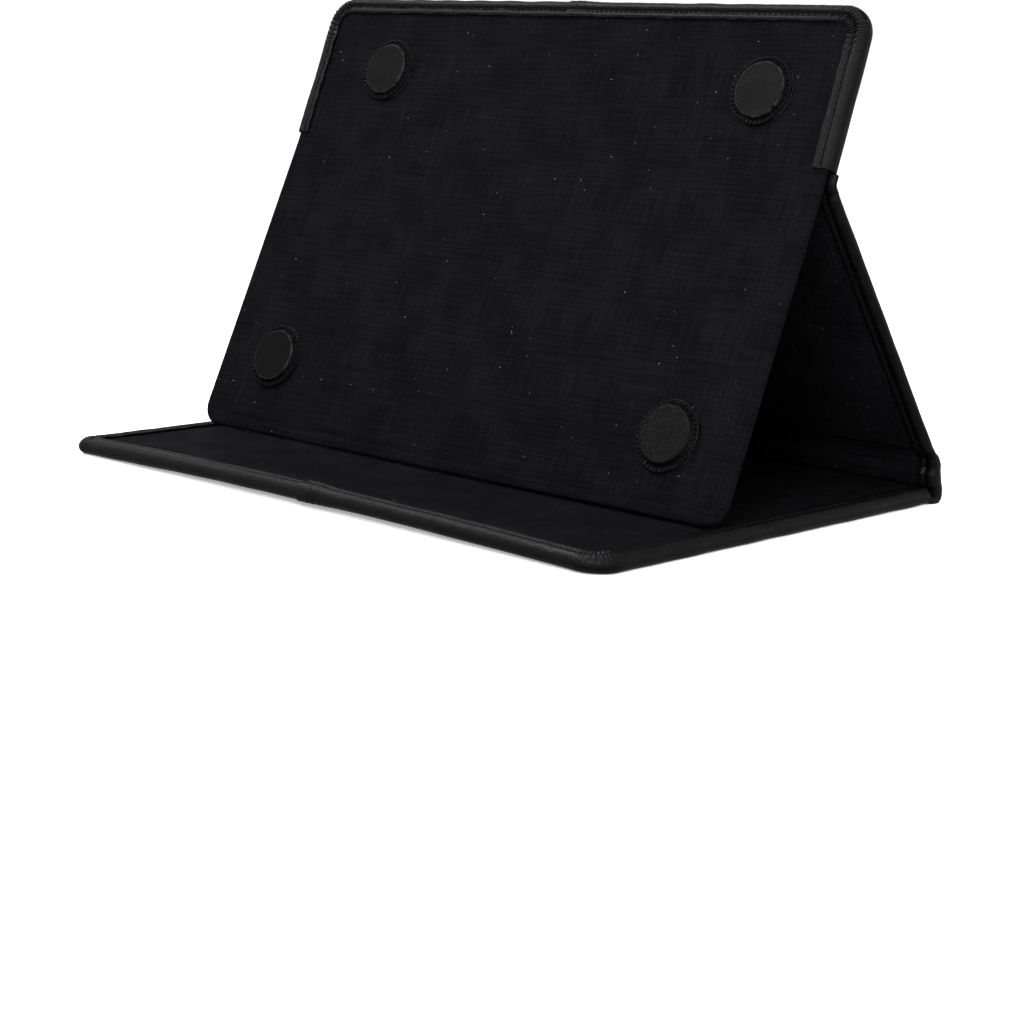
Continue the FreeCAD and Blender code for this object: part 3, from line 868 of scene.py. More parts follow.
@dataclass(frozen=True)
class LeatherFinish(Finish):
    """Dyed leather: grain, a satin sheen that varies, and ridges lightened both as rubbed leather and as a painted
    highlight.
    """

    dye: tuple = colour(0.0010, 0.0010, 0.0012)
    # rubbed: lighter colour of the rubbed ridges, which also stands in for their highlight as painted light
    rubbed_and_highlight: tuple = colour(0.0036, 0.0036, 0.0040)
    cell: float = 0.00075
    depth: float = 0.05
    rough: float = 0.36
    specular: float = 0.095

    def dress(self, nodes: Nodes, shader: bpy.types.Node) -> None:
        """Grain on Object coordinates feeds colour, roughness and bump. The lighter colour on the ridges is both
        rubbing and a painted highlight.
        """
        place = nodes.add("ShaderNodeTexCoord").outputs["Object"]
        grain = self.group(nodes, "leather_grain", vector=place, cell=self.cell)
        worn_and_highlit = nodes.add("ShaderNodeAttribute", attribute_name="wear")
        wear = self.group(nodes, "edge_wear", wear=worn_and_highlit.outputs["Fac"], vector=place)
        lint = self.group(nodes, "lint", vector=place, spacing=0.011, share=0.18)
        deep = nodes.blend(grain.outputs["Tone"], colour(*(0.55 * part for part in self.dye[:3])), self.dye)
        # The ridge mask paints the rubbed colour as rubbing and as a painted highlight on the shoulder and the cut
        # border.
        body = nodes.blend(wear.outputs[0], deep, self.rubbed_and_highlight)
        nodes.feed(shader.inputs["Base Color"], nodes.blend(lint.outputs[0], body, colour(0.10, 0.10, 0.10)))
        gloss = nodes.math("MULTIPLY", grain.outputs["Patch"], 0.12)
        rough = nodes.math("ADD", nodes.math("SUBTRACT", self.rough, gloss),
                           nodes.math("MULTIPLY", nodes.math("SUBTRACT", 1.0, grain.outputs["Tone"]), 0.12))
        nodes.feed(shader.inputs["Roughness"], rough)
        shader.inputs["Specular IOR Level"].default_value = self.specular
        self.bump(nodes, shader, grain.outputs["Height"], self.depth)


@dataclass(frozen=True)
class ClothFinish(Finish):
    """Woven cloth on its own flat pattern: weave, yarns of uneven thickness, blotches and lint."""

    dark: tuple = colour(0.0006, 0.0006, 0.0009)
    light: tuple = colour(0.0052, 0.0052, 0.0061)
    pitch: float = 0.00058
    depth: float = 0.12
    rough: float = 0.82
    specular: float = 0.016

    def dress(self, nodes: Nodes, shader: bpy.types.Node) -> None:
        """The weave on the flat UV map feeds colour, roughness and bump."""
        flat = nodes.add("ShaderNodeUVMap", uv_map="flat").outputs[0]
        weave = self.group(nodes, "plain_weave", vector=flat, pitch=self.pitch)
        lint = self.group(nodes, "lint", vector=flat, spacing=0.0031, size=0.075, share=0.5)
        tone = nodes.math("MULTIPLY", weave.outputs["Tone"],
                          nodes.math("ADD", nodes.math("MULTIPLY", weave.outputs["Patch"], 0.3), 0.7))
        body = nodes.blend(tone, self.dark, self.light)
        nodes.feed(shader.inputs["Base Color"], nodes.blend(lint.outputs[0], body, colour(0.11, 0.11, 0.12)))
        nodes.feed(shader.inputs["Roughness"],
                   nodes.math("SUBTRACT", self.rough, nodes.math("MULTIPLY", weave.outputs["Patch"], 0.10)))
        shader.inputs["Specular IOR Level"].default_value = self.specular
        self.bump(nodes, shader, weave.outputs["Height"], self.depth)


@dataclass(frozen=True)
class ThreadFinish(Finish):
    """Waxed sewing thread: two twisted strands with a matt sheen."""

    dye: tuple = colour(0.0006, 0.0006, 0.0008)
    pale: tuple = colour(0.0040, 0.0040, 0.0047)

    def dress(self, nodes: Nodes, shader: bpy.types.Node) -> None:
        """A slanted wave on the thread's own flat map is the twist."""
        flat = nodes.add("ShaderNodeUVMap", uv_map="flat").outputs[0]
        twist = nodes.add("ShaderNodeTexWave", wave_type="BANDS", bands_direction="DIAGONAL", vector=flat,
                          scale=420.0, distortion=1.5, detail=1.0)
        nodes.feed(shader.inputs["Base Color"], nodes.blend(twist.outputs["Fac"], self.dye, self.pale))
        nodes.feed(shader.inputs["Roughness"], nodes.band(twist.outputs["Fac"], 0.0, 1.0, 0.74, 0.58))
        shader.inputs["Specular IOR Level"].default_value = 0.03
        self.bump(nodes, shader, twist.outputs["Fac"], 0.05)


@dataclass(frozen=True)
class FibreFinish(Finish):
    """Pressed fibres: greyboard or felt."""

    dark: tuple = colour(0.12, 0.10, 0.08)
    light: tuple = colour(0.26, 0.23, 0.19)
    fibre: float = 0.0006
    depth: float = 0.05

    def dress(self, nodes: Nodes, shader: bpy.types.Node) -> None:
        """Stretched noise on Object coordinates gives fibres and flecks."""
        place = nodes.add("ShaderNodeTexCoord").outputs["Object"]
        pulled = nodes.add("ShaderNodeMapping", vector=place, scale=(0.35, 1.0, 1.0))
        fibre = nodes.add("ShaderNodeTexNoise", vector=pulled.outputs[0], scale=1 / self.fibre, detail=5.0)
        fleck = nodes.add("ShaderNodeTexVoronoi", feature="F1", vector=place, scale=0.4 / self.fibre)
        share = nodes.math("MULTIPLY", nodes.band(fibre.outputs[0], 0.3, 0.7),
                           nodes.band(fleck.outputs["Distance"], 0.0, 0.5, 0.6, 1.0))
        nodes.feed(shader.inputs["Base Color"], nodes.blend(share, self.dark, self.light))
        nodes.feed(shader.inputs["Roughness"], nodes.band(fibre.outputs[0], 0.2, 0.8, 0.85, 0.95))
        shader.inputs["Specular IOR Level"].default_value = 0.2
        self.bump(nodes, shader, fibre.outputs[0], self.depth)


@dataclass(frozen=True)
class FoamFinish(Finish):
    """Closed-cell foam: small cells whose pores are darkened with painted shade."""

    wall: tuple = colour(0.10, 0.10, 0.11)
    # colour of the painted shade in the pores
    pore_shade: tuple = colour(0.03, 0.03, 0.035)

    def dress(self, nodes: Nodes, shader: bpy.types.Node) -> None:
        """A Voronoi pattern on Object coordinates is the cells, with painted shade darkening their pores."""
        place = nodes.add("ShaderNodeTexCoord").outputs["Object"]
        cells = nodes.add("ShaderNodeTexVoronoi", feature="F1", vector=place, scale=2400.0)
        share = nodes.band(cells.outputs["Distance"], 0.1, 0.6)
        nodes.feed(shader.inputs["Base Color"], nodes.blend(share, self.pore_shade, self.wall))
        nodes.feed(shader.inputs["Roughness"], nodes.band(share, 0.0, 1.0, 0.95, 0.8))
        self.bump(nodes, shader, share, 0.1)


@dataclass(frozen=True)
class PlatingFinish(Finish):
    """Nickel plating over a pressed magnet: fine turning marks and faint smudges."""

    bright: tuple = colour(0.62, 0.60, 0.56)
    dull: tuple = colour(0.42, 0.41, 0.39)

    def dress(self, nodes: Nodes, shader: bpy.types.Node) -> None:
        """Noise on Object coordinates dulls the plating in patches."""
        place = nodes.add("ShaderNodeTexCoord").outputs["Object"]
        smudge = nodes.add("ShaderNodeTexNoise", vector=place, scale=350.0, detail=5.0)
        scratch = nodes.add("ShaderNodeTexNoise", vector=place, scale=5000.0, detail=2.0)
        share = nodes.band(smudge.outputs[0], 0.35, 0.7)
        nodes.feed(shader.inputs["Base Color"], nodes.blend(share, self.dull, self.bright))
        nodes.feed(shader.inputs["Roughness"], nodes.band(share, 0.0, 1.0, 0.45, 0.28))
        shader.inputs["Metallic"].default_value = 1.0
        self.bump(nodes, shader, scratch.outputs[0], 0.01)


CALF = LeatherFinish("calf", Slot.LEATHER)
# The disc's rubbed colour, thirty times the dye, is a painted highlight ring on the plateau's shoulder.
DISC_CALF = LeatherFinish("disc_calf", Slot.LEATHER, rubbed_and_highlight=colour(0.030, 0.030, 0.033), depth=0.03,
                          rough=0.46, specular=0.045)
PEBBLED_CALF = LeatherFinish("pebbled_calf", Slot.LEATHER, cell=0.0011, depth=0.10, rough=0.38,
                             specular=0.06)
LINING = ClothFinish("lining", Slot.LINING, pitch=0.00062, light=colour(0.0060, 0.0060, 0.0070))
PLATE_CLOTH = ClothFinish("plate_cloth", Slot.PLATE)
THREAD = ThreadFinish("thread", Slot.THREAD)
GREYBOARD = FibreFinish("greyboard", Slot.BOARD)
FELT = FibreFinish("felt", Slot.FELT, dark=colour(0.006, 0.006, 0.007), light=colour(0.02, 0.02, 0.022),
                   fibre=0.0003)
FOAM = FoamFinish("foam", Slot.FOAM)
PLATING = PlatingFinish("plating", Slot.MAGNET)


@dataclass(frozen=True)
class Bend:
    """A fold that a piece crosses: the two bodies and the lay that runs round it."""

    before: str
    after: str
    lay: FoldLay
    reach: float = 1.5


def settle(thing: bpy.types.Object, finish: Finish, carrier: str | Bend,
           stands_for: Sequence[str] = ()) -> bpy.types.Object:
    """Dress a finished piece, tie it to its body or, where it crosses a fold, bake its place into its mesh, and
    hide the CAD nodes it stands for.

    Args:
        thing: the piece.
        finish: its finish.
        carrier: the name of the body that it rides on, or the fold that it crosses.
        stands_for: the CAD nodes that it replaces.

    Returns:
        The piece.
    """
    thing.data.materials.clear()
    thing.data.materials.append(finish.material())
    if isinstance(carrier, Bend):
        start, end = carrier.lay.gates(carrier.reach)
        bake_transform(thing)
        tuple(start)
        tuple(end)
    else:
        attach(thing, carrier)
    if stands_for:
        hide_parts(*stands_for)
    log.info("%-28s %6d faces", thing.name, len(thing.data.polygons))
    return thing


# ------------------------------------------------------------------ plans and sections


@dataclass(frozen=True)
class Section:
    """A section across a panel's edge: inset from the edge, height, the normal's parts and the top share."""

    inset: np.ndarray
    height: np.ndarray
    normal_in: np.ndarray
    normal_up: np.ndarray
    top: np.ndarray
    girth: np.ndarray


@dataclass(frozen=True)
class TurnedEdge:
    """Leather or cloth that comes round a panel's edge and lies turned on its inner face."""

    turn_in: float
    rounding: float
    reach: float
    top_steps: int = 16
    round_steps: int = 8
    face_steps: int = 5

    def section(self, thickness: np.ndarray) -> Section:
        """The section at each row.

        From the inner border it runs level to the edge, round a quarter circle, down the side, round another
        quarter circle and level along the outer face as far as the reach.

        Args:
            thickness: the panel's thickness at each row, a column array in mm.

        Returns:
            Arrays with a row for each row of the thickness.
        """
        radius = np.minimum(self.rounding, 0.49 * thickness)
        share = np.linspace(0, 1, self.top_steps)[None, :]
        angle = np.linspace(0, math.pi / 2, self.round_steps)[None, 1:]
        under = np.linspace(0, math.pi / 2, self.round_steps)[None, :]
        face = (np.linspace(0, 1, self.face_steps + 1)[None, 1:]) ** 1.5
        ones = np.ones_like(thickness)
        inset = np.concatenate((
            self.turn_in + (radius - self.turn_in) * share,
            radius * (1 - np.sin(angle)),
            radius * (1 - np.cos(under)),
            radius + (self.reach - radius) * face), axis=1)
        height = np.concatenate((
            thickness + 0 * share,
            thickness - radius * (1 - np.cos(angle)),
            radius * (1 - np.sin(under)),
            0 * ones * face), axis=1)
        normal_in = np.concatenate((0 * ones * share, -np.sin(angle) * ones, -np.cos(under) * ones,
                                    0 * ones * face), axis=1)
        normal_up = np.concatenate((ones + 0 * share, np.cos(angle) * ones, -np.sin(under) * ones,
                                    -ones + 0 * face), axis=1)
        girth = np.concatenate((np.zeros_like(ones), np.cumsum(np.hypot(
            np.diff(inset, axis=1), np.diff(height, axis=1)), axis=1)), axis=1)
        top = ease((height / thickness - 0.45) / 0.4)
        return Section(inset, height, normal_in, normal_up, top, girth)


@dataclass(frozen=True)
class Quarter:
    """A quarter of a panel's plan: up one side, round the corner and back to the middle.

    Places are measured across from the middle of the case and along from the quarter's open end.
    """

    half_width: float
    length: float
    corner: float
    reach: float
    side_run: np.ndarray
    end_run: np.ndarray
    turn_steps: int = 64

    def rows(self) -> tuple[np.ndarray, ...]:
        """The rows' shares of the side and end runs, the outward direction and the place on the seam.

        Returns:
            Column arrays: side share, end share, outward across, outward along and seam place, which is
            0 in the middle of the corner.
        """
        angle = np.linspace(0, math.pi / 2, self.turn_steps)[1:-1]
        side, end, turn = self.side_run, self.end_run, np.ones_like(angle)
        side_share = np.concatenate((side, turn, np.ones_like(end)))
        end_share = np.concatenate((np.zeros_like(side), 0 * turn, end))
        out_across = np.concatenate((np.ones_like(side), np.cos(angle), 0 * end))
        out_along = np.concatenate((np.zeros_like(side), np.sin(angle), np.ones_like(end)))
        half_turn = self.corner * math.pi / 4
        seam = np.concatenate((
            (side - 1) * (self.length - self.corner) - half_turn,
            self.corner * (angle - math.pi / 4),
            half_turn + end * (self.half_width - self.corner)))
        return tuple(item[:, None] for item in (side_share, end_share, out_across, out_along, seam))

    def ring(self, inset: np.ndarray) -> tuple[np.ndarray, np.ndarray]:
        """Places across and along at an inset from the edge, where the corner's radius shrinks in proportion.

        Args:
            inset: distance from the edge, with a row for each row of the quarter.

        Returns:
            Places across and along.
        """
        side_share, end_share, out_across, out_along, _ = self.rows()
        radius = self.corner * np.clip(1 - inset / self.reach, 0, None)
        across = (self.half_width - inset - radius) * (1 - end_share) + radius * out_across
        along = (self.length - inset - radius) * side_share + radius * out_along
        return across, along

    def middle(self) -> tuple[np.ndarray, np.ndarray]:
        """The flat middle of the quarter, whose rows and columns meet the ring at full reach."""
        across = (self.half_width - self.reach) * (1 - self.end_run)[None, :]
        along = (self.length - self.reach) * self.side_run[:, None]
        return np.broadcast_arrays(across, along)


@dataclass(frozen=True)
class Handwork:
    """What sewing and turning by hand leaves in the leather. Sizes in mm."""

    seed: int
    groove: float = 0.42
    puff: float = 0.34
    pull: float = 0.16
    pitch: float = 2.6
    pleat: float = 0.42
    pleat_pitch: float = 1.9
    pleat_zone: float = 9.0
    wave: float = 0.11
    border_wave: float = 0.35
    stitch_inset: float = SIZES.stitch_inset
    turn_in: float = SIZES.turn_in

    def relief(self, inset: np.ndarray, seam: np.ndarray, top: np.ndarray, across: np.ndarray,
               along: np.ndarray, uneven_share: np.ndarray | float = 1.0) -> np.ndarray:
        """Height of the worked surface over the plain one.

        A bell-shaped groove runs under the stitches and is pulled down at each one. Beside it the leather
        puffs up. At the corners it is gathered in pleats: the absolute value of a sine along the seam, whose
        phase drifts, within a bell about the corner. All of it drifts a little.

        Args:
            inset: distance from the edge.
            seam: place along the seam, 0 in the middle of the corner.
            top: share of the inner face, 0 on the outer face.
            across: place across the case.
            along: place along the panel.
            uneven_share: share of the unevenness, 0 beside a hinge.

        Returns:
            The relief in mm, along the normal.
        """
        near = dip(inset, self.stitch_inset, 0.62)
        pulls = 0.5 + 0.5 * np.cos(2 * math.pi * seam / self.pitch)
        worked = -self.groove * near - self.pull * dip(inset, self.stitch_inset, 1.0) * pulls
        worked = worked + self.puff * (dip(inset, self.stitch_inset + 1.5, 0.8)
                                       + dip(inset, self.stitch_inset - 1.9, 1.1))
        gather = np.exp(-((np.abs(seam) / self.pleat_zone) ** 4))
        phase = seam / self.pleat_pitch + 0.32 * drift(self.seed, 5.0, seam, 0.25 * inset)
        folds = np.abs(np.sin(math.pi * phase)) - 0.62
        strength = self.pleat * (0.35 + 0.65 * ease(inset / 3.0))
        strength = strength * (1 + 0.4 * drift(self.seed + 1, 4.0, seam))
        uneven = self.wave * drift(self.seed + 2, 17.0, across, along)
        fine = 0.035 * drift(self.seed + 3, 3.6, across, along)
        return top * (worked + gather * strength * folds + fine * uneven_share) + uneven * uneven_share

    def border(self, inset: np.ndarray, seam: np.ndarray, top: np.ndarray) -> np.ndarray:
        """The inset with the cut border wandering in and out."""
        sway = self.border_wave * drift(self.seed + 5, 9.0, seam)
        return inset + top * ease((inset - self.turn_in + 1.6) / 1.6) * sway

    def wear(self, inset: np.ndarray, top: np.ndarray) -> np.ndarray:
        """Share of rubbing and of painted highlight: high on the shoulder outside the stitches and on the cut
        border.
        """
        return np.clip(top * (dip(inset, 1.2, 1.1) + dip(inset, self.turn_in, 0.5)), 0, 1)


@dataclass(frozen=True)
class Lap:
    """The glued lap of the two leather halves: the right half lies over the left one, which runs on below."""

    step: float = 0.42
    slant: float = 0.6
    wrinkle: float = 0.16
    fade: float = 8.0
    stretch: float = 14.0
    ripple: float = 2.7

    def shift(self, side: Side, across: np.ndarray, share: np.ndarray, girth: np.ndarray) -> np.ndarray:
        """How far the right half reaches over the left one, slanting towards the turned border.

        Args:
            side: left or right half.
            across: place across the case.
            share: 1 on the turned border, 0 on the outer face.
            girth: place along the lap, in mm.

        Returns:
            The shift in mm.
        """
        if side is Side.LEFT:
            return 0 * across
        sway = 0.3 * drift(41, 7.0, girth)
        return (0.6 + self.slant * ease(1.6 * share) + sway) * (1 - ease(across / self.stretch))

    def relief(self, side: Side, across: np.ndarray, inset: np.ndarray) -> np.ndarray:
        """The right half starts a step higher and sinks back, with small wrinkles beside the lap.

        Args:
            side: left or right half.
            across: place across the case.
            inset: distance from the edge.

        Returns:
            The relief in mm.
        """
        if side is Side.LEFT:
            return 0 * across
        from_lap = np.clip(across, 0, None)
        sway = 1.5 * drift(43, 6.0, from_lap, inset)
        wrinkles = np.sin(2 * math.pi * (from_lap + 0.5 * inset) / self.ripple + sway)
        sink = np.exp(-((from_lap / self.fade) ** 2))
        return self.step * sink + self.wrinkle * wrinkles * np.exp(-from_lap / 6.0) * (1 - np.exp(-from_lap))


# ------------------------------------------------------------------ leather


def tapered(places: np.ndarray, thickness: float, thin_ends: Sequence[float]) -> np.ndarray:
    """Thickness at places along a panel: full, but thin where the board stops short of a fold.

    Args:
        places: places along the panel in mm.
        thickness: the full thickness.
        thin_ends: the places where the panel is as thin as a hinge.

    Returns:
        A column array, eased from thin to full over two millimetres.
    """
    share = np.ones_like(places)
    for end in thin_ends:
        share = share * ease(np.abs(places - end) / 2.2)
    return (SIZES.hinge_thickness + (thickness - SIZES.hinge_thickness) * share)[:, None]


def turned_quarter(side: Side, end: int, lay: Lay, start: float, quarter: Quarter, edge: TurnedEdge,
                   thickness: np.ndarray, work: Handwork, lap: Lap) -> list[Patch]:
    """One leather half of a panel that has a corner: the turned band round its edge and its outer face.

    Args:
        side: left or right half.
        end: 1 where the corner is at the far end along the panel, -1 where it is at the near end.
        lay: the panel's lay.
        start: place along the panel of the quarter's open end.
        quarter: the plan.
        edge: the section of the turned edge.
        thickness: the panel's thickness at each row of the quarter.
        work: the handwork.
        lap: the lap at the middle.

    Returns:
        The band and the outer face.
    """
    section = edge.section(thickness)
    _, _, out_across, out_along, seam = quarter.rows()
    inset = work.border(section.inset, seam, section.top)
    across, along = quarter.ring(inset)
    at_end = (out_across == 0).astype(float)
    share = 1 - section.girth / section.girth[:, -1:]
    across = across - at_end * lap.shift(side, across, share, section.girth)
    raised = work.relief(inset, seam, section.top, side.value * across, start + end * along)
    raised = raised + at_end * lap.relief(side, across, inset)
    across = across - raised * section.normal_in * out_across
    along = along - raised * section.normal_in * out_along
    height = section.height + raised * section.normal_up
    flip = side.value * end > 0
    # The band carries the share of rubbing and painted highlight on its shoulder and cut border.
    band = patch(lay, side.value * across, start + end * along, height, flip,
                 wear=work.wear(inset, section.top))
    across, along = quarter.middle()
    across = across - lap.shift(side, across, 0 * across, 0 * across + section.girth[-1, -1])
    sunk = work.wave * drift(work.seed + 2, 17.0, side.value * across, start + end * along)
    sunk = sunk + lap.relief(side, across, quarter.reach + 0 * across)
    return [band, patch(lay, side.value * across, start + end * along, -sunk, flip)]


def turned_strip(side: Side, lay: Lay, along: np.ndarray, edge: TurnedEdge, thickness: np.ndarray,
                 work: Handwork, lap: Lap, calm: bool, swell: tuple[float, float] = (0.0, 0.0)) -> Patch:
    """One leather half of a straight panel or hinge, whose side edge is turned.

    Args:
        side: left or right half.
        lay: the lay.
        along: places of the rows in mm.
        edge: the section of the turned edge.
        thickness: thickness at each row, a column array.
        work: the handwork.
        lap: the lap at the middle.
        calm: leave out everything but the stitch groove, as a hinge does.
        swell: how far the outer face swells out at the first and last row, eased between them.

    Returns:
        The strip from the turned border round the edge to the middle.
    """
    section = edge.section(thickness)
    run = along[:, None] + 0 * section.inset
    seam = run + 400.0
    inset = section.inset if calm else work.border(section.inset, seam, section.top)
    face = SIZES.half_width - edge.reach
    columns = edge.reach + face - face * (1 - graded(face, 2.4, 2.0, 0.5)[1:] / face)[None, :]
    inset = np.concatenate((inset, columns + 0 * along[:, None]), axis=1)
    extra = [(0, 0), (0, columns.shape[1])]
    height = np.pad(section.height, extra)
    normal_in = np.pad(section.normal_in, extra)
    normal_up = np.pad(section.normal_up, extra, constant_values=-1.0)
    top = np.pad(section.top, extra)
    run = along[:, None] + 0 * inset
    across = SIZES.half_width - inset
    across = across - lap.shift(side, across, 0 * across, run)
    ends = ease((run - along[0]) / 6) * ease((along[-1] - run) / 6)
    raised = work.relief(inset, run + 400.0, top, side.value * across, run, 0.0 if calm else ends)
    raised = raised + lap.relief(side, across, inset)
    across = across - raised * normal_in
    share = ease((run - along[0]) / (along[-1] - along[0]))
    out = (swell[0] + (swell[1] - swell[0]) * share) * (1 - ease(height / (0.9 * thickness)))
    # The strip carries the share of rubbing and painted highlight on its shoulder and cut border.
    return patch(lay, side.value * across, run, height + raised * normal_up - out, side is Side.RIGHT,
                 wear=work.wear(inset, top))


# ------------------------------------------------------------------ cloth, slabs and seams


def cloth_quarter(side: Side, end: int, lay: Lay, start: float, quarter: Quarter, insets: np.ndarray,
                  height: np.ndarray, middle: float) -> list[Patch]:
    """A quarter of a lining that faces inwards: a ring of insets and a level middle.

    Args:
        side: left or right half.
        end: 1 where the corner is at the far end, -1 where it is at the near end.
        lay: the panel's lay.
        start: place along the panel of the quarter's open end.
        quarter: the plan.
        insets: insets of the ring's columns, the last one the quarter's reach.
        height: height at each row and column of the ring.
        middle: height of the middle.

    Returns:
        The ring and the middle.
    """
    across, along = quarter.ring(insets[None, :] + 0 * quarter.rows()[0])
    flip = side.value * end < 0
    ring = patch(lay, side.value * across, start + end * along, height, flip)
    across, along = quarter.middle()
    return [ring, patch(lay, side.value * across, start + end * along, middle + 0 * across, flip)]


def lining_height(thickness: np.ndarray | float, across: np.ndarray) -> np.ndarray:
    """Height of a thin panel's lining: below the turned border, and risen to it past the border's edge.

    Args:
        thickness: the panel's thickness, a number or a column array.
        across: places across the case.

    Returns:
        The height of the cloth's upper side.
    """
    rise = ease((SIZES.half_width - np.abs(across) - SIZES.turn_in) / SIZES.lining_ramp)
    return thickness - SIZES.lining_depth + SIZES.lining_crown * rise


def stretch(cloth: bpy.types.Object, length: float, rests_on: str) -> None:
    """Declare a hinge's or straight panel's lining as a sheet, by its area where it is a narrow strip.

    Args:
        cloth: the lining. Not used.
        length: its flat length in mm; the width is every lining's. Not used.
        rests_on: the piece that it is stretched over. Not used.
    """


def slab(name: str, lay: Lay, across: np.ndarray, along: np.ndarray, low: float,
         high: np.ndarray | float) -> bpy.types.Object:
    """A closed slab between two height grids.

    Args:
        name: the object's name.
        lay: the panel's lay.
        across: places of the columns.
        along: places of the rows.
        low: height of the underside.
        high: height of the upper side, or heights in rows by columns.

    Returns:
        The welded object.
    """
    wide, deep = np.meshgrid(across, along)
    low, high = low + 0 * wide, high + 0 * wide
    patches = [patch(lay, wide, deep, high, True), patch(lay, wide, deep, low, False)]
    for row, flip in ((0, False), (-1, True)):
        sides = [np.stack((item[row], item[row])) for item in (wide, deep)]
        patches.append(patch(lay, *sides, np.stack((low[row], high[row])), not flip))
    for column, flip in ((0, True), (-1, False)):
        sides = [np.stack((item[:, column], item[:, column])) for item in (wide, deep)]
        patches.append(patch(lay, *sides, np.stack((low[:, column], high[:, column])), not flip))
    return join(name, patches)


@dataclass(frozen=True)
class Stitches:
    """Thread stitches: each a short thick loop whose ends dive into the work. Sizes in mm."""

    seed: int
    length: float = 1.75
    width: float = 0.58
    rise: float = 0.26
    slant: float = 0.16
    sink: float = 0.50
    rings: int = 6
    sides: int = 7

    def build(self, name: str, lay: Lay, places: np.ndarray, directions: np.ndarray,
              heights: np.ndarray) -> bpy.types.Object:
        """Lay a stitch at each place.

        Along a stitch its radius is the fourth root of one minus the fourth power of the share, and its
        middle rides higher than its ends by the sink times the square of the share. Length, slant and place
        vary a little from one to the next.

        Args:
            name: the object's name.
            lay: the lay of the panel.
            places: across and along of each stitch.
            directions: unit vectors along the seam.
            heights: heights of the seam.

        Returns:
            One object with all the stitches.
        """
        draw = np.random.default_rng(self.seed)
        count = len(places)
        turn = self.slant + draw.normal(0, 0.07, count)
        cos, sin = np.cos(turn), np.sin(turn)
        ahead = np.stack((directions[:, 0] * cos - directions[:, 1] * sin,
                          directions[:, 0] * sin + directions[:, 1] * cos), axis=1)
        beside = np.stack((-ahead[:, 1], ahead[:, 0]), axis=1)
        share = np.linspace(-1, 1, self.rings)[None, :, None]
        angle = np.linspace(0, 2 * math.pi, self.sides + 1)[None, None, :]
        length = (self.length / 2 * draw.uniform(0.88, 1.1, count))[:, None, None]
        thick = draw.uniform(0.85, 1.12, count)[:, None, None] * (1 - share ** 4).clip(0) ** 0.25
        off = np.cos(angle) * thick * self.width / 2
        up = np.sin(angle) * thick * self.rise - self.sink * share ** 2 + 0.4 * self.rise
        jitter = draw.normal(0, 0.09, (count, 2))
        spot = [(places[:, k] + jitter[:, k])[:, None, None] + ahead[:, k][:, None, None] * length * share
                + beside[:, k][:, None, None] * off for k in (0, 1)]
        height = heights[:, None, None] + up + 0 * spot[0]
        points = lay.points(spot[0], spot[1], height)
        flat = np.stack(np.broadcast_arrays(length * share * MM, angle * self.width / 2 * MM
                                            + 0.01 * np.arange(count)[:, None, None]), axis=-1)
        one = grid_faces(self.rings, self.sides + 1, True)
        faces = (one[None] + (np.arange(count) * self.rings * (self.sides + 1))[:, None, None]).reshape(-1, 4)
        thing = mesh_object(name, points.reshape(-1, 3), faces, flat.reshape(-1, 2),
                            np.zeros(points.reshape(-1, 3).shape[0]))
        weld(thing)
        return thing


def seam_line(half_width: float, ends: tuple[float, float], corner: float, rounded: int,
              pitch: float) -> tuple[np.ndarray, np.ndarray]:
    """Places and directions of stitches along a seam.

    The seam goes up the left side, round the corners across one end and down the right side. Without an end
    it is the two sides only.

    Args:
        half_width: the seam's half width.
        ends: its open end and its far end along the panel.
        corner: the radius of its corners.
        rounded: 1 or -1 where the far end is sewn, in that direction along; 0 where only the sides are.
        pitch: from one stitch to the next.

    Returns:
        Places and unit directions, across and along.
    """
    start, finish = ends
    sense = 1 if finish > start else -1
    if rounded:
        angle = np.linspace(0, math.pi / 2, 12)
        left = np.stack((-half_width + corner - corner * np.cos(angle),
                         finish - sense * corner + sense * corner * np.sin(angle)), axis=1)
        path = np.concatenate(([[-half_width, start]], left, left[::-1] * [-1, 1], [[half_width, start]]))
        paths = [path]
    else:
        paths = [np.array([[side * half_width, start], [side * half_width, finish]]) for side in (-1, 1)]
    places, directions = [], []
    for path in paths:
        step = np.linalg.norm(np.diff(path, axis=0), axis=1)
        run = np.concatenate(([0.0], np.cumsum(step)))
        count = max(1, int(run[-1] / pitch))
        wanted = (np.arange(count) + 0.5) * run[-1] / count
        spots = np.stack([np.interp(wanted, run, path[:, k]) for k in (0, 1)], axis=1)
        ahead = np.stack([np.interp(wanted + 0.3, run, path[:, k]) for k in (0, 1)], axis=1) - spots
        places.append(spots)
        directions.append(ahead / np.linalg.norm(ahead, axis=1)[:, None])
    return np.concatenate(places), np.concatenate(directions)


def sew(name: str, stitches: Stitches, lay: Lay, seam: tuple[np.ndarray, np.ndarray],
        heights: np.ndarray | float, body: str, stands_for: str) -> None:
    """Sew a seam in thread and hang it on a body.

    Args:
        name: the object's name.
        stitches: the kind of stitch.
        lay: the lay of the panel.
        seam: places and unit directions of the stitches, across and along.
        heights: height of the seam, or of each stitch.
        body: the body that it rides on.
        stands_for: the CAD node that it replaces.
    """
    places, directions = seam
    thing = stitches.build(name, lay, places, directions, heights + np.zeros(len(places)))
    settle(thing, THREAD, body, [stands_for])


# ------------------------------------------------------------------ sub-assemblies


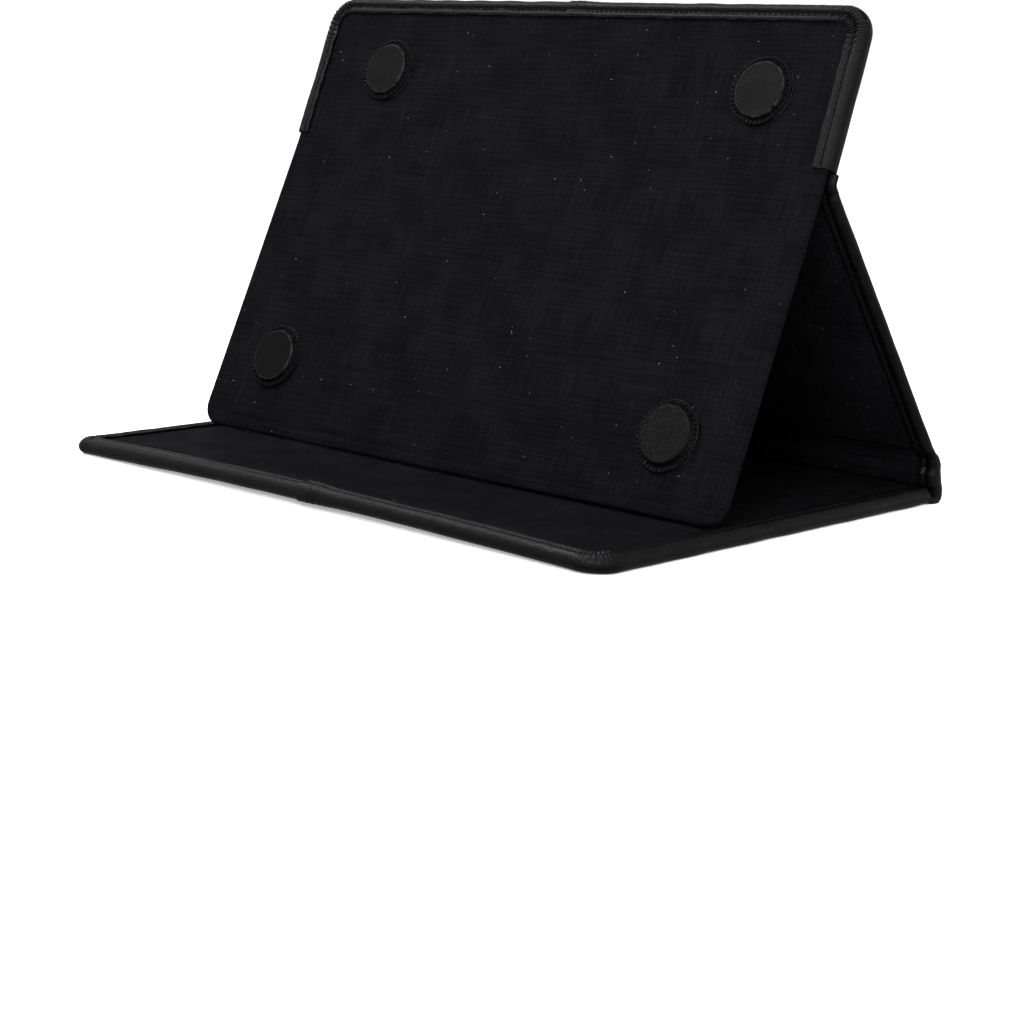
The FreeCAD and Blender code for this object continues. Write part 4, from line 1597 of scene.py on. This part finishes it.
@dataclass(frozen=True)
class Cover:
    """The cover that lies flat: leather turned round a board and foam, a lining and a seam."""

    thickness: float = SIZES.cover_thickness
    edge: TurnedEdge = TurnedEdge(SIZES.turn_in, 2.6, SIZES.edge_reach)
    lap: Lap = Lap(step=0.6, wrinkle=0.24, slant=4.0, stretch=24.0)
    work: Handwork = Handwork(11)
    board_inset: float = 3.6
    board_setback: float = 2.4
    board_low: float = 0.95
    board_high: float = 2.85
    foam_inset: float = 7.5
    foam_setback: float = 4.0
    foam_low: float = 2.9
    foam_crown: float = 0.55
    lining_low: float = 4.75
    lining_high: float = 5.35
    left_corner: float = 4.5
    right_corner: float = 10.5
    seam_corner: float = 3.6
    body: str = "base"

    def quarter(self, side: Side, spacing: float = 1.05) -> Quarter:
        """The plan of one half, from the hinge to the nose. The left corner is sewn more tightly."""
        corner = self.right_corner if side is Side.RIGHT else self.left_corner
        length = SIZES.cover_length - SIZES.gutter
        fine = 0.42 * spacing
        side = graded(length - SIZES.corner, spacing, fine, fine) / (length - SIZES.corner)
        end = graded(SIZES.half_width - SIZES.corner, spacing, fine, fine) / (SIZES.half_width - SIZES.corner)
        return Quarter(SIZES.half_width, length, corner, self.edge.reach, side, end)

    def row_thickness(self, quarter: Quarter) -> np.ndarray:
        """Thin beside the hinge and full elsewhere."""
        along = quarter.rows()[0][:, 0] * (quarter.length - SIZES.corner)
        return tapered(along, self.thickness, (0.0,))

    def leather(self) -> None:
        """The two leather halves."""
        for side in Side:
            quarter = self.quarter(side)
            word = side.name.lower()
            patches = turned_quarter(side, -1, COVER_LAY, -SIZES.gutter, quarter, self.edge,
                                     self.row_thickness(quarter), self.work, self.lap)
            thing = join(f"cover_leather_{word}", patches)
            give_wall(thing, SIZES.skin)
            settle(thing, CALF, self.body, [f"base_leather_{word}"])

    def lining(self) -> None:
        """The lining: tucked under the turned border and crowned over the foam."""
        insets = np.concatenate((np.linspace(SIZES.turn_in - SIZES.lining_tuck, self.edge.reach - 0.6, 9),
                                 [self.edge.reach]))
        rise = ease((insets[None, :] - SIZES.turn_in) / (self.edge.reach - SIZES.turn_in))
        patches = []
        for side in Side:
            quarter = self.quarter(side, 2.0)
            thin = self.row_thickness(quarter) - self.thickness
            height = self.lining_low + (self.lining_high - self.lining_low) * rise + thin * (1 - 0.1 * rise)
            built = cloth_quarter(side, -1, COVER_LAY, -SIZES.gutter, quarter, insets, height,
                                  self.lining_high)
            flat_rows = (quarter.side_run * (quarter.length - SIZES.corner))[:, None]
            across, along = quarter.middle()
            thin = tapered(flat_rows[:, 0], self.thickness, (0.0,)) - self.thickness
            built[1] = patch(COVER_LAY, side.value * across, -SIZES.gutter - along,
                             self.lining_high + 0.9 * thin + 0 * across, side is Side.RIGHT)
            patches += built
        thing = join("cover_lining", patches)
        give_wall(thing, SIZES.cloth)
        settle(thing, LINING, self.body, ["base_lining"])

    def filling(self) -> None:
        """The board and the foam on it, both bowed with the nose."""
        across = np.linspace(-1, 1, 41) * (SIZES.half_width - self.board_inset)
        along = np.linspace(-SIZES.cover_length + self.board_inset, -SIZES.gutter - self.board_setback, 40)
        board = slab("cover_board", COVER_LAY, across, along, self.board_low, self.board_high)
        settle(board, GREYBOARD, self.body, ["base_board"])
        across = np.linspace(-1, 1, 61) * (SIZES.half_width - self.foam_inset)
        along = np.linspace(-SIZES.cover_length + self.foam_inset, -SIZES.gutter - self.foam_setback, 50)
        wide, deep = np.meshgrid(across, along)
        near = np.minimum(SIZES.half_width - np.abs(wide),
                          np.minimum(deep + SIZES.cover_length, -deep - SIZES.gutter))
        high = self.lining_low - 0.5 + self.foam_crown * ease((near - 7.0) / 5.0)
        foam = slab("cover_foam", COVER_LAY, across, along, self.foam_low, high)
        settle(foam, FOAM, self.body, ["base_padding"])

    def stitches(self) -> None:
        """The seam round the turned border."""
        inset = SIZES.stitch_inset
        seam = seam_line(SIZES.half_width - inset, (-SIZES.gutter - 1.2, -SIZES.cover_length + inset),
                         self.seam_corner, 1, self.work.pitch)
        sew("cover_stitches", Stitches(5), COVER_LAY, seam, self.thickness - SIZES.seam_depth, self.body,
            "base_stitching")

    def build(self) -> None:
        """Everything of the cover."""
        self.leather()
        self.lining()
        self.filling()
        self.stitches()


@dataclass(frozen=True)
class Hinge:
    """The thin leather and lining that run round a fold, without a board."""

    name: str
    bend: Bend
    work: Handwork
    lap: Lap = Lap()
    edge: TurnedEdge = TurnedEdge(SIZES.turn_in, 1.5, SIZES.edge_reach)
    swell: tuple = (0.0, 0.0)

    def build(self) -> None:
        """The leather in one piece with its lap, and the lining over it."""
        lay = self.bend.lay
        rows = np.concatenate((np.linspace(0, lay.run_before, 8)[:-1],
                               lay.run_before + np.linspace(0, lay.arc, 22)[:-1],
                               lay.run_before + lay.arc + np.linspace(0, lay.run_after, 8)))
        thick = np.full((len(rows), 1), SIZES.hinge_thickness)
        patches = [turned_strip(side, lay, rows, self.edge, thick, self.work, self.lap, True, self.swell)
                   for side in Side]
        thing = join(f"{self.name}_hinge_leather", patches)
        give_wall(thing, SIZES.skin)
        settle(thing, CALF, self.bend)
        inner = SIZES.lining_half_width
        wide, deep = np.meshgrid(np.linspace(-inner, inner, 101), rows)
        height = lining_height(SIZES.hinge_thickness, wide)
        lining = join(f"{self.name}_hinge_lining", [patch(lay, wide, deep, height, True)])
        give_wall(lining, SIZES.cloth)
        settle(lining, LINING, self.bend)
        stretch(lining, float(lay.length - height.mean() * lay.turn), thing.name)


@dataclass(frozen=True)
class StraightPanel:
    """A panel between two folds: the spine or the lower back."""

    name: str
    lay: PanelLay
    length: float
    work: Handwork
    seed: int
    lap: Lap = Lap()
    edge: TurnedEdge = TurnedEdge(SIZES.turn_in, 1.5, SIZES.edge_reach)
    swell: tuple = (0.0, 0.0)
    card_inset: float = 1.6
    card_setback: float = 1.9

    def rows(self) -> np.ndarray:
        """Places of the rows, from hinge to hinge."""
        return SIZES.gutter + graded(self.length - 2 * SIZES.gutter, 1.05, 0.4, 0.4, 5.0)

    def build(self) -> None:
        """Leather halves, lining and the two side seams."""
        rows = self.rows()
        thick = tapered(rows, SIZES.back_thickness, (rows[0], rows[-1]))
        for side in Side:
            word = side.name.lower()
            strip = turned_strip(side, self.lay, rows, self.edge, thick, self.work, self.lap, False,
                                 self.swell)
            thing = join(f"{self.name}_leather_{word}", [strip])
            give_wall(thing, SIZES.skin)
            settle(thing, CALF, self.name, [f"{self.name}_leather_{word}"])
        inner = SIZES.lining_half_width
        wide, deep = np.meshgrid(np.linspace(-inner, inner, 121), rows)
        lining = join(f"{self.name}_lining_cloth",
                      [patch(self.lay, wide, deep, lining_height(thick, wide), True)])
        give_wall(lining, SIZES.cloth)
        settle(lining, LINING, self.name, [f"{self.name}_lining"])
        ends = SIZES.gutter + self.card_setback
        board = slab(f"{self.name}_card", self.lay,
                     np.linspace(-1, 1, 21) * (SIZES.half_width - self.card_inset),
                     np.linspace(ends, self.length - ends, 9), SIZES.card_low, SIZES.card_high)
        settle(board, GREYBOARD, self.name, [f"{self.name}_board"])
        stretch(lining, self.length - 2 * SIZES.gutter, board.name)
        seam = seam_line(SIZES.half_width - SIZES.stitch_inset, (rows[0] + 1, rows[-1] - 1), 0.0, 0,
                         self.work.pitch)
        heights = np.interp(seam[0][:, 1], rows, thick[:, 0]) - SIZES.seam_depth
        sew(f"{self.name}_stitches", Stitches(self.seed), self.lay, seam, heights, self.name,
            f"{self.name}_stitching")


@dataclass(frozen=True)
class UpperBack:
    """The upper back, whose turned edge binds the plate's upper part on three sides."""

    edge: TurnedEdge = TurnedEdge(SIZES.turn_in, 3.1, SIZES.edge_reach, round_steps=11)
    lap: Lap = Lap(wrinkle=0.22, slant=2.2)
    work: Handwork = Handwork(23, pleat=0.6, pleat_zone=14.0, border_wave=0.2, wave=0.13, pitch=2.2)
    corner: float = 10.5
    seam_corner: float = 6.8
    inside: float = 4.4
    crease_setback: float = 0.6
    foam_low: float = 2.12
    foam_high: float = 3.28
    lining_top: float = 3.67
    body: str = "holder"

    def build(self) -> None:
        """Leather with its binding, foam, lining and the binding's seam."""
        length = SIZES.upper_back_length - SIZES.notch
        side_run = graded(length - self.corner, 0.75, 0.5, 0.35) / (length - self.corner)
        end_run = graded(SIZES.half_width - self.corner, 0.75, 0.35, 0.35) / (SIZES.half_width - self.corner)
        quarter = Quarter(SIZES.half_width, length, self.corner, self.edge.reach, side_run, end_run, 90)
        thick = np.full((len(quarter.rows()[0]), 1), SIZES.bound_thickness)
        for side in Side:
            word = side.name.lower()
            patches = turned_quarter(side, 1, HOLDER_LAY, SIZES.notch, quarter, self.edge, thick, self.work,
                                     self.lap)
            thing = join(f"binding_leather_{word}", patches)
            give_wall(thing, SIZES.skin)
            settle(thing, CALF, self.body, [f"upper_back_leather_{word}"])
        self.filling()
        inset = SIZES.stitch_inset
        seam = seam_line(SIZES.half_width - inset, (SIZES.notch + 0.8, SIZES.upper_back_length - inset),
                         self.seam_corner, 1, self.work.pitch)
        sew("binding_stitches", Stitches(9), HOLDER_LAY, seam, SIZES.bound_thickness - SIZES.seam_depth,
            self.body, "binding_stitching")

    def filling(self) -> None:
        """The board, the foam behind the plate and the lining between them."""
        across = np.linspace(-1, 1, 31) * (SIZES.half_width - self.inside)
        along = np.linspace(SIZES.notch + self.crease_setback, SIZES.upper_back_length - self.inside, 24)
        board = slab("upper_back_card", HOLDER_LAY, across, along, SIZES.card_low, SIZES.card_high)
        settle(board, GREYBOARD, self.body, ["upper_back_board"])
        foam = slab("upper_back_foam", HOLDER_LAY, across, along, self.foam_low, self.foam_high)
        settle(foam, FOAM, self.body, ["upper_back_padding"])
        wide, deep = np.meshgrid(across, along)
        cloth = join("upper_back_lining_cloth",
                     [patch(HOLDER_LAY, wide, deep, self.lining_top + 0 * wide, True)])
        give_wall(cloth, 0.36)
        settle(cloth, LINING, self.body, ["upper_back_lining"])


@dataclass(frozen=True)
class Plate:
    """The stiff plate that carries the tablet: cloth turned round a board, and a seam on its free part."""

    thickness: float = SIZES.plate_thickness
    reach: float = 13.0
    parting: float = -30.0
    back_inset: float = 5.6
    seam_corner: float = 4.0
    seam_pitch: float = 3.0
    seam_depth: float = 0.24
    deepest: float = 0.26
    top_corner: float = 5.5
    wave: float = 0.11
    seed: int = 61
    body: str = "holder"

    def half(self, side: Side, end: int, start: float) -> list[Patch]:
        """A quarter of the front cloth with its hem: the section of a turned edge, seen from the front.

        Args:
            side: left or right half.
            end: 1 for the top, -1 for the foot.
            start: place along the holder where the two ends' quarters meet.

        Returns:
            The turned band and the level face.
        """
        half_width = SIZES.plate_half_width
        length = SIZES.plate_tip - start if end > 0 else start + SIZES.plate_reach
        corner = self.top_corner if end > 0 else SIZES.plate_corner
        side_run = graded(length - corner, 1.4, 1.4, 0.5) / (length - corner)
        end_run = graded(half_width - SIZES.plate_corner, 1.7, 0.5, 1.7) / (half_width - SIZES.plate_corner)
        quarter = Quarter(half_width, length, corner, self.reach, side_run, end_run, 40)
        edge = TurnedEdge(SIZES.plate_hem, 1.0, self.reach, 8, 7, 14)
        section = edge.section(np.full((len(quarter.rows()[0]), 1), self.thickness))
        _, _, out_across, out_along, seam = quarter.rows()
        across, along = quarter.ring(section.inset)
        place, run = side.value * across, start + end * along
        front = ease((self.thickness / 2 - section.height) / 0.8)
        raised = self.relief(section.inset, seam, front, place, run)
        across = across - raised * section.normal_in * out_across
        along = along - raised * section.normal_in * out_along
        height = self.thickness - section.height - raised * section.normal_up
        flip = side.value * end < 0
        girth = section.girth[:, -1:] - section.girth - self.reach + section.inset * 0
        flat = (side.value * (across + (girth + section.inset) * out_across),
                start + end * (along + (girth + section.inset) * out_along))
        band = patch(PLATE_LAY, side.value * across, start + end * along, height, flip, flat)
        across, along = quarter.middle()
        place, run = side.value * across, start + end * along
        raised = self.relief(self.reach + 0 * across, 99 + 0 * across, 1 + 0 * across, place, run)
        return [band, patch(PLATE_LAY, place, run, self.thickness + raised, flip)]

    def relief(self, inset: np.ndarray, seam: np.ndarray, front: np.ndarray, across: np.ndarray,
               along: np.ndarray) -> np.ndarray:
        """Relief of the cloth: a groove under the seam below the binding, ribs by the right edge, and waves.

        Args:
            inset: distance from the edge.
            seam: place along the seam.
            front: share of the front face.
            across: place across the plate.
            along: place along the plate.

        Returns:
            The relief in mm.
        """
        below = ease(-along / 3.0)
        groove = -0.30 * dip(inset, SIZES.plate_stitch_inset, 0.7)
        puff = 0.16 * (dip(inset, SIZES.plate_stitch_inset + 1.6, 0.9) + dip(inset, 2.4, 1.0))
        ribs = 0.10 * np.sin(2 * math.pi * along / 2.6 + drift(66, 9.0, across, along))
        ribs = ribs * ease((inset - 3.5) / 2) * (1 - ease((inset - 7.0) / 4.5)) * (across > 0)
        mark = -0.16 * dip(along, -1.5, 1.3)
        waves = self.wave * drift(self.seed, 30.0, across, along)
        waves = waves + 0.03 * drift(self.seed + 1, 6.0, across, along)
        calm = ease((inset - 0.3) / 3)
        worked = below * (groove + puff + ribs) + mark * ease(inset / 4) + waves * calm
        return front * np.maximum(worked, -self.deepest)

    def build(self) -> None:
        """Front cloth, back cloth and the seam."""
        patches = [item for side in Side for end in (1, -1) for item in self.half(side, end, self.parting)]
        front = join("plate_front_cloth", patches)
        give_wall(front, SIZES.cloth)
        settle(front, PLATE_CLOTH, self.body, ["plate_front_fabric"])
        turned = SIZES.plate_hem + self.thickness
        length = SIZES.plate_tip + SIZES.plate_reach + 2 * turned
        across = np.linspace(-1, 1, 100) * (SIZES.plate_half_width - self.back_inset)
        along = np.linspace(-SIZES.plate_reach + self.back_inset, SIZES.plate_tip - self.back_inset, 70)
        wide, deep = np.meshgrid(across, along)
        back = join("plate_back_cloth", [patch(PLATE_LAY, wide, deep, 0.12 + 0 * wide, False)])
        give_wall(back, 0.25)
        settle(back, PLATE_CLOTH, self.body, ["plate_back_fabric"])
        inset = SIZES.plate_stitch_inset
        seam = seam_line(SIZES.plate_half_width - inset, (SIZES.notch - 1.0, -SIZES.plate_reach + inset),
                         self.seam_corner, 1, self.seam_pitch)
        sew("plate_stitches", Stitches(15, width=0.6), PLATE_LAY, seam, self.thickness - self.seam_depth,
            self.body, "plate_stitching")


@dataclass(frozen=True)
class DiscLay:
    """The flat frame of a magnet disc: its middle in metres on top of the plateau, and the plate's slope."""

    middle: tuple
    slope: float

    def points(self, across: np.ndarray, along: np.ndarray, height: np.ndarray) -> np.ndarray:
        """Height is above the plate's front face."""
        across, along, height = np.broadcast_arrays(across, along, height)
        rise = height - SIZES.disc_height
        x = self.middle[0] / MM + across
        y = self.middle[1] / MM + along * math.cos(self.slope) - rise * math.sin(self.slope)
        z = self.middle[2] / MM + along * math.sin(self.slope) + rise * math.cos(self.slope)
        return np.stack((x, y, z), axis=-1) * MM


@dataclass(frozen=True)
class Disc:
    """A magnet under a moulded leather cover, whip-stitched round its flange."""

    place: str
    seed: int
    finish: LeatherFinish = DISC_CALF
    radius: float = 12.0
    rim: float = 0.45
    flange: float = 1.25
    seam_radius: float = 10.95
    lean: float = 0.42
    felt_radius: float = 11.9
    count: int = 42
    off_centre: tuple = (0.0, 0.0)

    def lay(self) -> DiscLay:
        """The disc's lay, from the record's mount."""
        name = f"disc_face_{self.place}"
        return DiscLay(tuple(mount_named(name)["pos_m"]), slope_of_mount(name))

    def outline(self, angle: np.ndarray) -> np.ndarray:
        """How far the hand-cut outline strays: slow waves and small nicks between stitches."""
        wander = drift(self.seed, 9.0, 12 * np.cos(angle), 12 * np.sin(angle))
        return 0.22 * wander - 0.12 * np.abs(np.sin(self.count * angle / 2)) + 0.05

    def cover(self) -> bpy.types.Object:
        """The leather: a revolved section through flange, shoulder and plateau.

        The section is a chain of points with a radius and a height, rounded by an even cubic blend at the
        flange's rim and at the plateau's shoulder.

        Returns:
            The mesh object.
        """
        angle = np.linspace(0, 2 * math.pi, 4 * self.count + 1)[:, None]
        step = ease(np.linspace(0, 1, 14))
        turn = np.linspace(0, math.pi / 2, 7)
        radius = np.concatenate((
            np.full(2, self.radius), self.radius - self.rim * (1 - np.cos(turn)),
            [11.3, 11.0, 10.7, 10.45],
            10.3 - 0.95 * np.linspace(0, 1, 14),
            [9.15, 8.9, 8.6, 8.0, 7.0, 5.6, 4.2, 2.8, 1.4, 0.0]))
        height = np.concatenate((
            [self.rim, self.flange - self.rim], self.flange - self.rim * (1 - np.sin(turn)),
            [self.flange - 0.02, self.flange - 0.1, self.flange - 0.22, self.flange - 0.28],
            self.flange - 0.3 + (SIZES.disc_height - 0.06 - self.flange + 0.3) * step,
            [2.385, 2.40, 2.39, 2.37, 2.36, 2.37, 2.38, 2.39, 2.40, 2.40]))
        share = ease((radius - 9.0) / 2.0)
        radius = radius[None, :] + share[None, :] * self.outline(angle)
        inner = (1 - share)[None, :]
        across = radius * np.cos(angle) + inner * self.off_centre[0]
        along = radius * np.sin(angle) + inner * self.off_centre[1]
        flange = ease((radius - 10.0) / 0.5)
        wave = 0.09 * flange * np.sin(self.count * angle)
        wave = wave + inner * 0.05 * drift(self.seed + 1, 8.0, across, along)
        lay = self.lay()
        # The ring at the plateau's shoulder is a painted highlight, given the rubbed colour through the ridge
        # mask.
        return join(f"disc_{self.place}_leather",
                    [patch(lay, across, along, height[None, :] + wave * ease((height - 0.5) / 0.4), False,
                           wear=dip(radius, 9.42, 0.28))])

    def build(self) -> None:
        """The leather cover, its whip stitches and the felt under it."""
        lay = self.lay()
        leather = self.cover()
        give_wall(leather, 0.7)
        settle(leather, self.finish, "holder", [f"disc_cover_{self.place}"])
        turn = (np.arange(self.count) + 0.5) / self.count * 2 * math.pi
        places = np.stack((np.cos(turn), np.sin(turn)), axis=1) * self.seam_radius
        ahead = np.stack((np.cos(turn + self.lean), np.sin(turn + self.lean)), axis=1)
        stitches = Stitches(self.seed + 3, length=1.8, width=0.78, rise=0.30, slant=0.0, sink=0.45, rings=7)
        sew(f"disc_{self.place}_stitches", stitches, lay, (places, ahead), self.flange - 0.06, "holder",
            f"disc_stitching_{self.place}")
        angle = np.linspace(0, 2 * math.pi, 73)[:, None]
        outwards = np.array([0.0, 5.0, 10.5, self.felt_radius])
        radius = np.concatenate((outwards, outwards[::-1]))[None, :]
        height = np.repeat([0.40, 0.02], 4)[None, :]
        felt = join(f"disc_{self.place}_felt",
                    [patch(lay, radius * np.cos(angle), radius * np.sin(angle), height + 0 * angle, True)])
        settle(felt, FELT, "holder", [f"disc_backing_{self.place}"])


# ------------------------------------------------------------------ studio


@dataclass(frozen=True)
class Lamp:
    """A soft rectangular lamp: where it stands and looks in metres, its size in metres and power in watts."""

    name: str
    place: tuple
    target: tuple
    size: tuple
    power: float

    def build(self) -> None:
        """Make the lamp and aim it."""
        data = bpy.data.lights.new(self.name, "AREA")
        data.shape = "RECTANGLE"
        data.size, data.size_y = self.size
        data.energy = self.power
        thing = bpy.data.objects.new(self.name, data)
        thing.location = self.place
        aim = Vector(self.target) - Vector(self.place)
        thing.rotation_euler = aim.to_track_quat("-Z", "Y").to_euler()
        bpy.context.scene.collection.objects.link(thing)


@dataclass(frozen=True)
class Camera:
    """The camera: turned about the case, tipped, rolled, at a distance in metres from its target."""

    azimuth: float = 43.49
    elevation: float = 5.92
    roll: float = 1.70
    distance: float = 0.7981
    target: tuple = (-0.00348, 0.00438, 0.06842)
    lens: float = 80.71
    shift: tuple = (0.0096, -0.2261)

    def build(self) -> None:
        """Make the camera with its own axes as the columns of its matrix."""
        turn, tip, roll = (math.radians(item) for item in (self.azimuth, self.elevation, self.roll))
        back = Vector((math.sin(turn) * math.cos(tip), -math.cos(turn) * math.cos(tip), math.sin(tip)))
        right = (-back).cross(Vector((0, 0, 1))).normalized()
        up = right.cross(-back)
        cos, sin = math.cos(roll), math.sin(roll)
        right, up = right * cos + up * sin, up * cos - right * sin
        data = bpy.data.cameras.new("camera")
        data.lens = self.lens
        data.sensor_width = 36.0
        data.shift_x, data.shift_y = self.shift
        data.clip_start = 0.01
        thing = bpy.data.objects.new("camera", data)
        matrix = Matrix((right, up, back)).transposed().to_4x4()
        matrix.translation = Vector(self.target) + back * self.distance
        thing.matrix_world = matrix
        bpy.context.scene.collection.objects.link(thing)
        bpy.context.scene.camera = thing


@dataclass(frozen=True)
class Studio:
    """A pale floor, a pale surround with a grey band half way up, and soft lamps."""

    surround: float = 1.06
    overhead: float = 1.55
    band_tone: float = 0.30
    below: float = 0.42
    floor_tone: float = 0.955
    floor_glow: float = 0.35
    lamps: tuple = (
        Lamp("key", (-0.60, -0.40, 0.95), (0, 0, 0.06), (0.40, 0.30), 13.0),
        Lamp("front", (0.62, -0.98, 0.58), (0, 0, 0.08), (0.28, 0.40), 14.0),
        Lamp("rim", (0.98, -0.20, 0.45), (0, 0, 0.08), (0.08, 0.45), 3.0),
    )

    def floor(self) -> None:
        """A wide floor of even pale board that glows a little."""
        reach = 6.0
        mesh = bpy.data.meshes.new("floor")
        mesh.from_pydata([(-reach, -reach, 0), (reach, -reach, 0), (reach, reach, 0), (-reach, reach, 0)],
                         [], [(0, 1, 2, 3)])
        thing = bpy.data.objects.new("floor", mesh)
        thing.location = (0, 0, -0.00005)
        bpy.context.scene.collection.objects.link(thing)
        made = bpy.data.materials.new("pale_board")
        made.use_nodes = True
        shader = made.node_tree.nodes["Principled BSDF"]
        tone = self.floor_tone
        shader.inputs["Base Color"].default_value = (tone, tone, tone, 1)
        shader.inputs["Roughness"].default_value = 1.0
        shader.inputs["Specular IOR Level"].default_value = 0.0
        shader.inputs["Emission Color"].default_value = (1, 1, 1, 1)
        shader.inputs["Emission Strength"].default_value = self.floor_glow
        mesh.materials.append(made)
        thing.visible_glossy = False

    def build(self) -> None:
        """Floor, surround, lamps and the plain view transform.

        The surround's strength depends on the height of the direction alone: dim below the floor, pale round
        the horizon, a grey band above it and bright overhead.
        """
        self.floor()
        world = bpy.data.worlds.new("surround")
        world.use_nodes = True
        nodes = Nodes(world.node_tree)
        backdrop = world.node_tree.nodes["Background"]
        backdrop.inputs["Color"].default_value = (1, 1, 1, 1)
        direction = nodes.add("ShaderNodeTexCoord").outputs["Generated"]
        apart = nodes.add("ShaderNodeSeparateXYZ", vector=direction)
        up = apart.outputs[2]
        tone = nodes.math("ADD", nodes.band(up, -0.10, -0.05, self.below, self.surround),
                          nodes.band(up, 0.16, 0.28, 0.0, self.band_tone - self.surround))
        tone = nodes.math("ADD", tone, nodes.band(up, 0.55, 0.80, 0.0, self.overhead - self.band_tone))
        nodes.feed(backdrop.inputs["Strength"], tone)
        bpy.context.scene.world = world
        for lamp in self.lamps:
            lamp.build()
        bpy.context.scene.view_settings.view_transform = "Standard"


# ------------------------------------------------------------------ the whole case


@dataclass
class TabletCase:
    """The whole case, built panel by panel from the cover to the discs."""

    cover: Cover = field(default_factory=Cover)
    plate: Plate = field(default_factory=Plate)
    upper_back: UpperBack = field(default_factory=UpperBack)

    def hinges(self) -> list[Hinge]:
        """The three folds."""
        gutter = SIZES.gutter
        return [
            Hinge("cover", Bend("base", "spine", FoldLay(SIZES.cover_fold, 0.0, SPINE_SLOPE, gutter, gutter,
                                                         2.5), 1.3), Handwork(11), swell=(0.0, 2.0)),
            Hinge("back", Bend("spine", "lower_back", FoldLay(SIZES.back_fold, SPINE_SLOPE, LOWER_SLOPE,
                                                              gutter, gutter, 3.5), 1.5), Handwork(12),
                  swell=(2.0, 0.0)),
            Hinge("crease", Bend("lower_back", "holder", FoldLay(SIZES.crease, LOWER_SLOPE,
                                                                 SIZES.upper_slope, gutter, SIZES.notch,
                                                                 1.5), 1.7), Handwork(13)),
        ]

    def panels(self) -> list[StraightPanel]:
        """The spine and the lower back."""
        return [StraightPanel("spine", SPINE_LAY, SIZES.spine_height, Handwork(31), 6, swell=(2.0, 2.0)),
                StraightPanel("lower_back", LOWER_BACK_LAY, SIZES.lower_back_length, Handwork(33), 7)]

    def discs(self) -> list[Disc]:
        """The four discs. The lower right one has pebbled leather and sits off its flange's middle."""
        return [Disc("top_left", 101), Disc("top_right", 111), Disc("bottom_left", 121),
                Disc("bottom_right", 131, PEBBLED_CALF, off_centre=(-0.35, 0.3))]

    def dress_cad(self) -> None:
        """Give the boards and magnets that stay from the CAD their finishes."""
        for name, thing in frame["nodes"].items():
            if thing.hide_render:
                continue
            finish = PLATING if "magnet" in name else GREYBOARD
            thing.data.materials.clear()
            thing.data.materials.append(finish.material())

    def build(self) -> None:
        """Build and dress every piece."""
        self.cover.build()
        for part in (*self.hinges(), *self.panels()):
            part.build()
        self.upper_back.build()
        self.plate.build()
        for disc in self.discs():
            disc.build()
        self.dress_cad()


def main() -> None:
    """Node groups first, then the case, then the studio and the camera."""
    logging.basicConfig(level=logging.INFO, format="%(name)s: %(message)s")
    for make in (grain_group, weave_group, lint_group, wear_group):
        make()
    TabletCase().build()
    Studio().build()
    Camera().build()


if __name__ == "__main__":
    main()
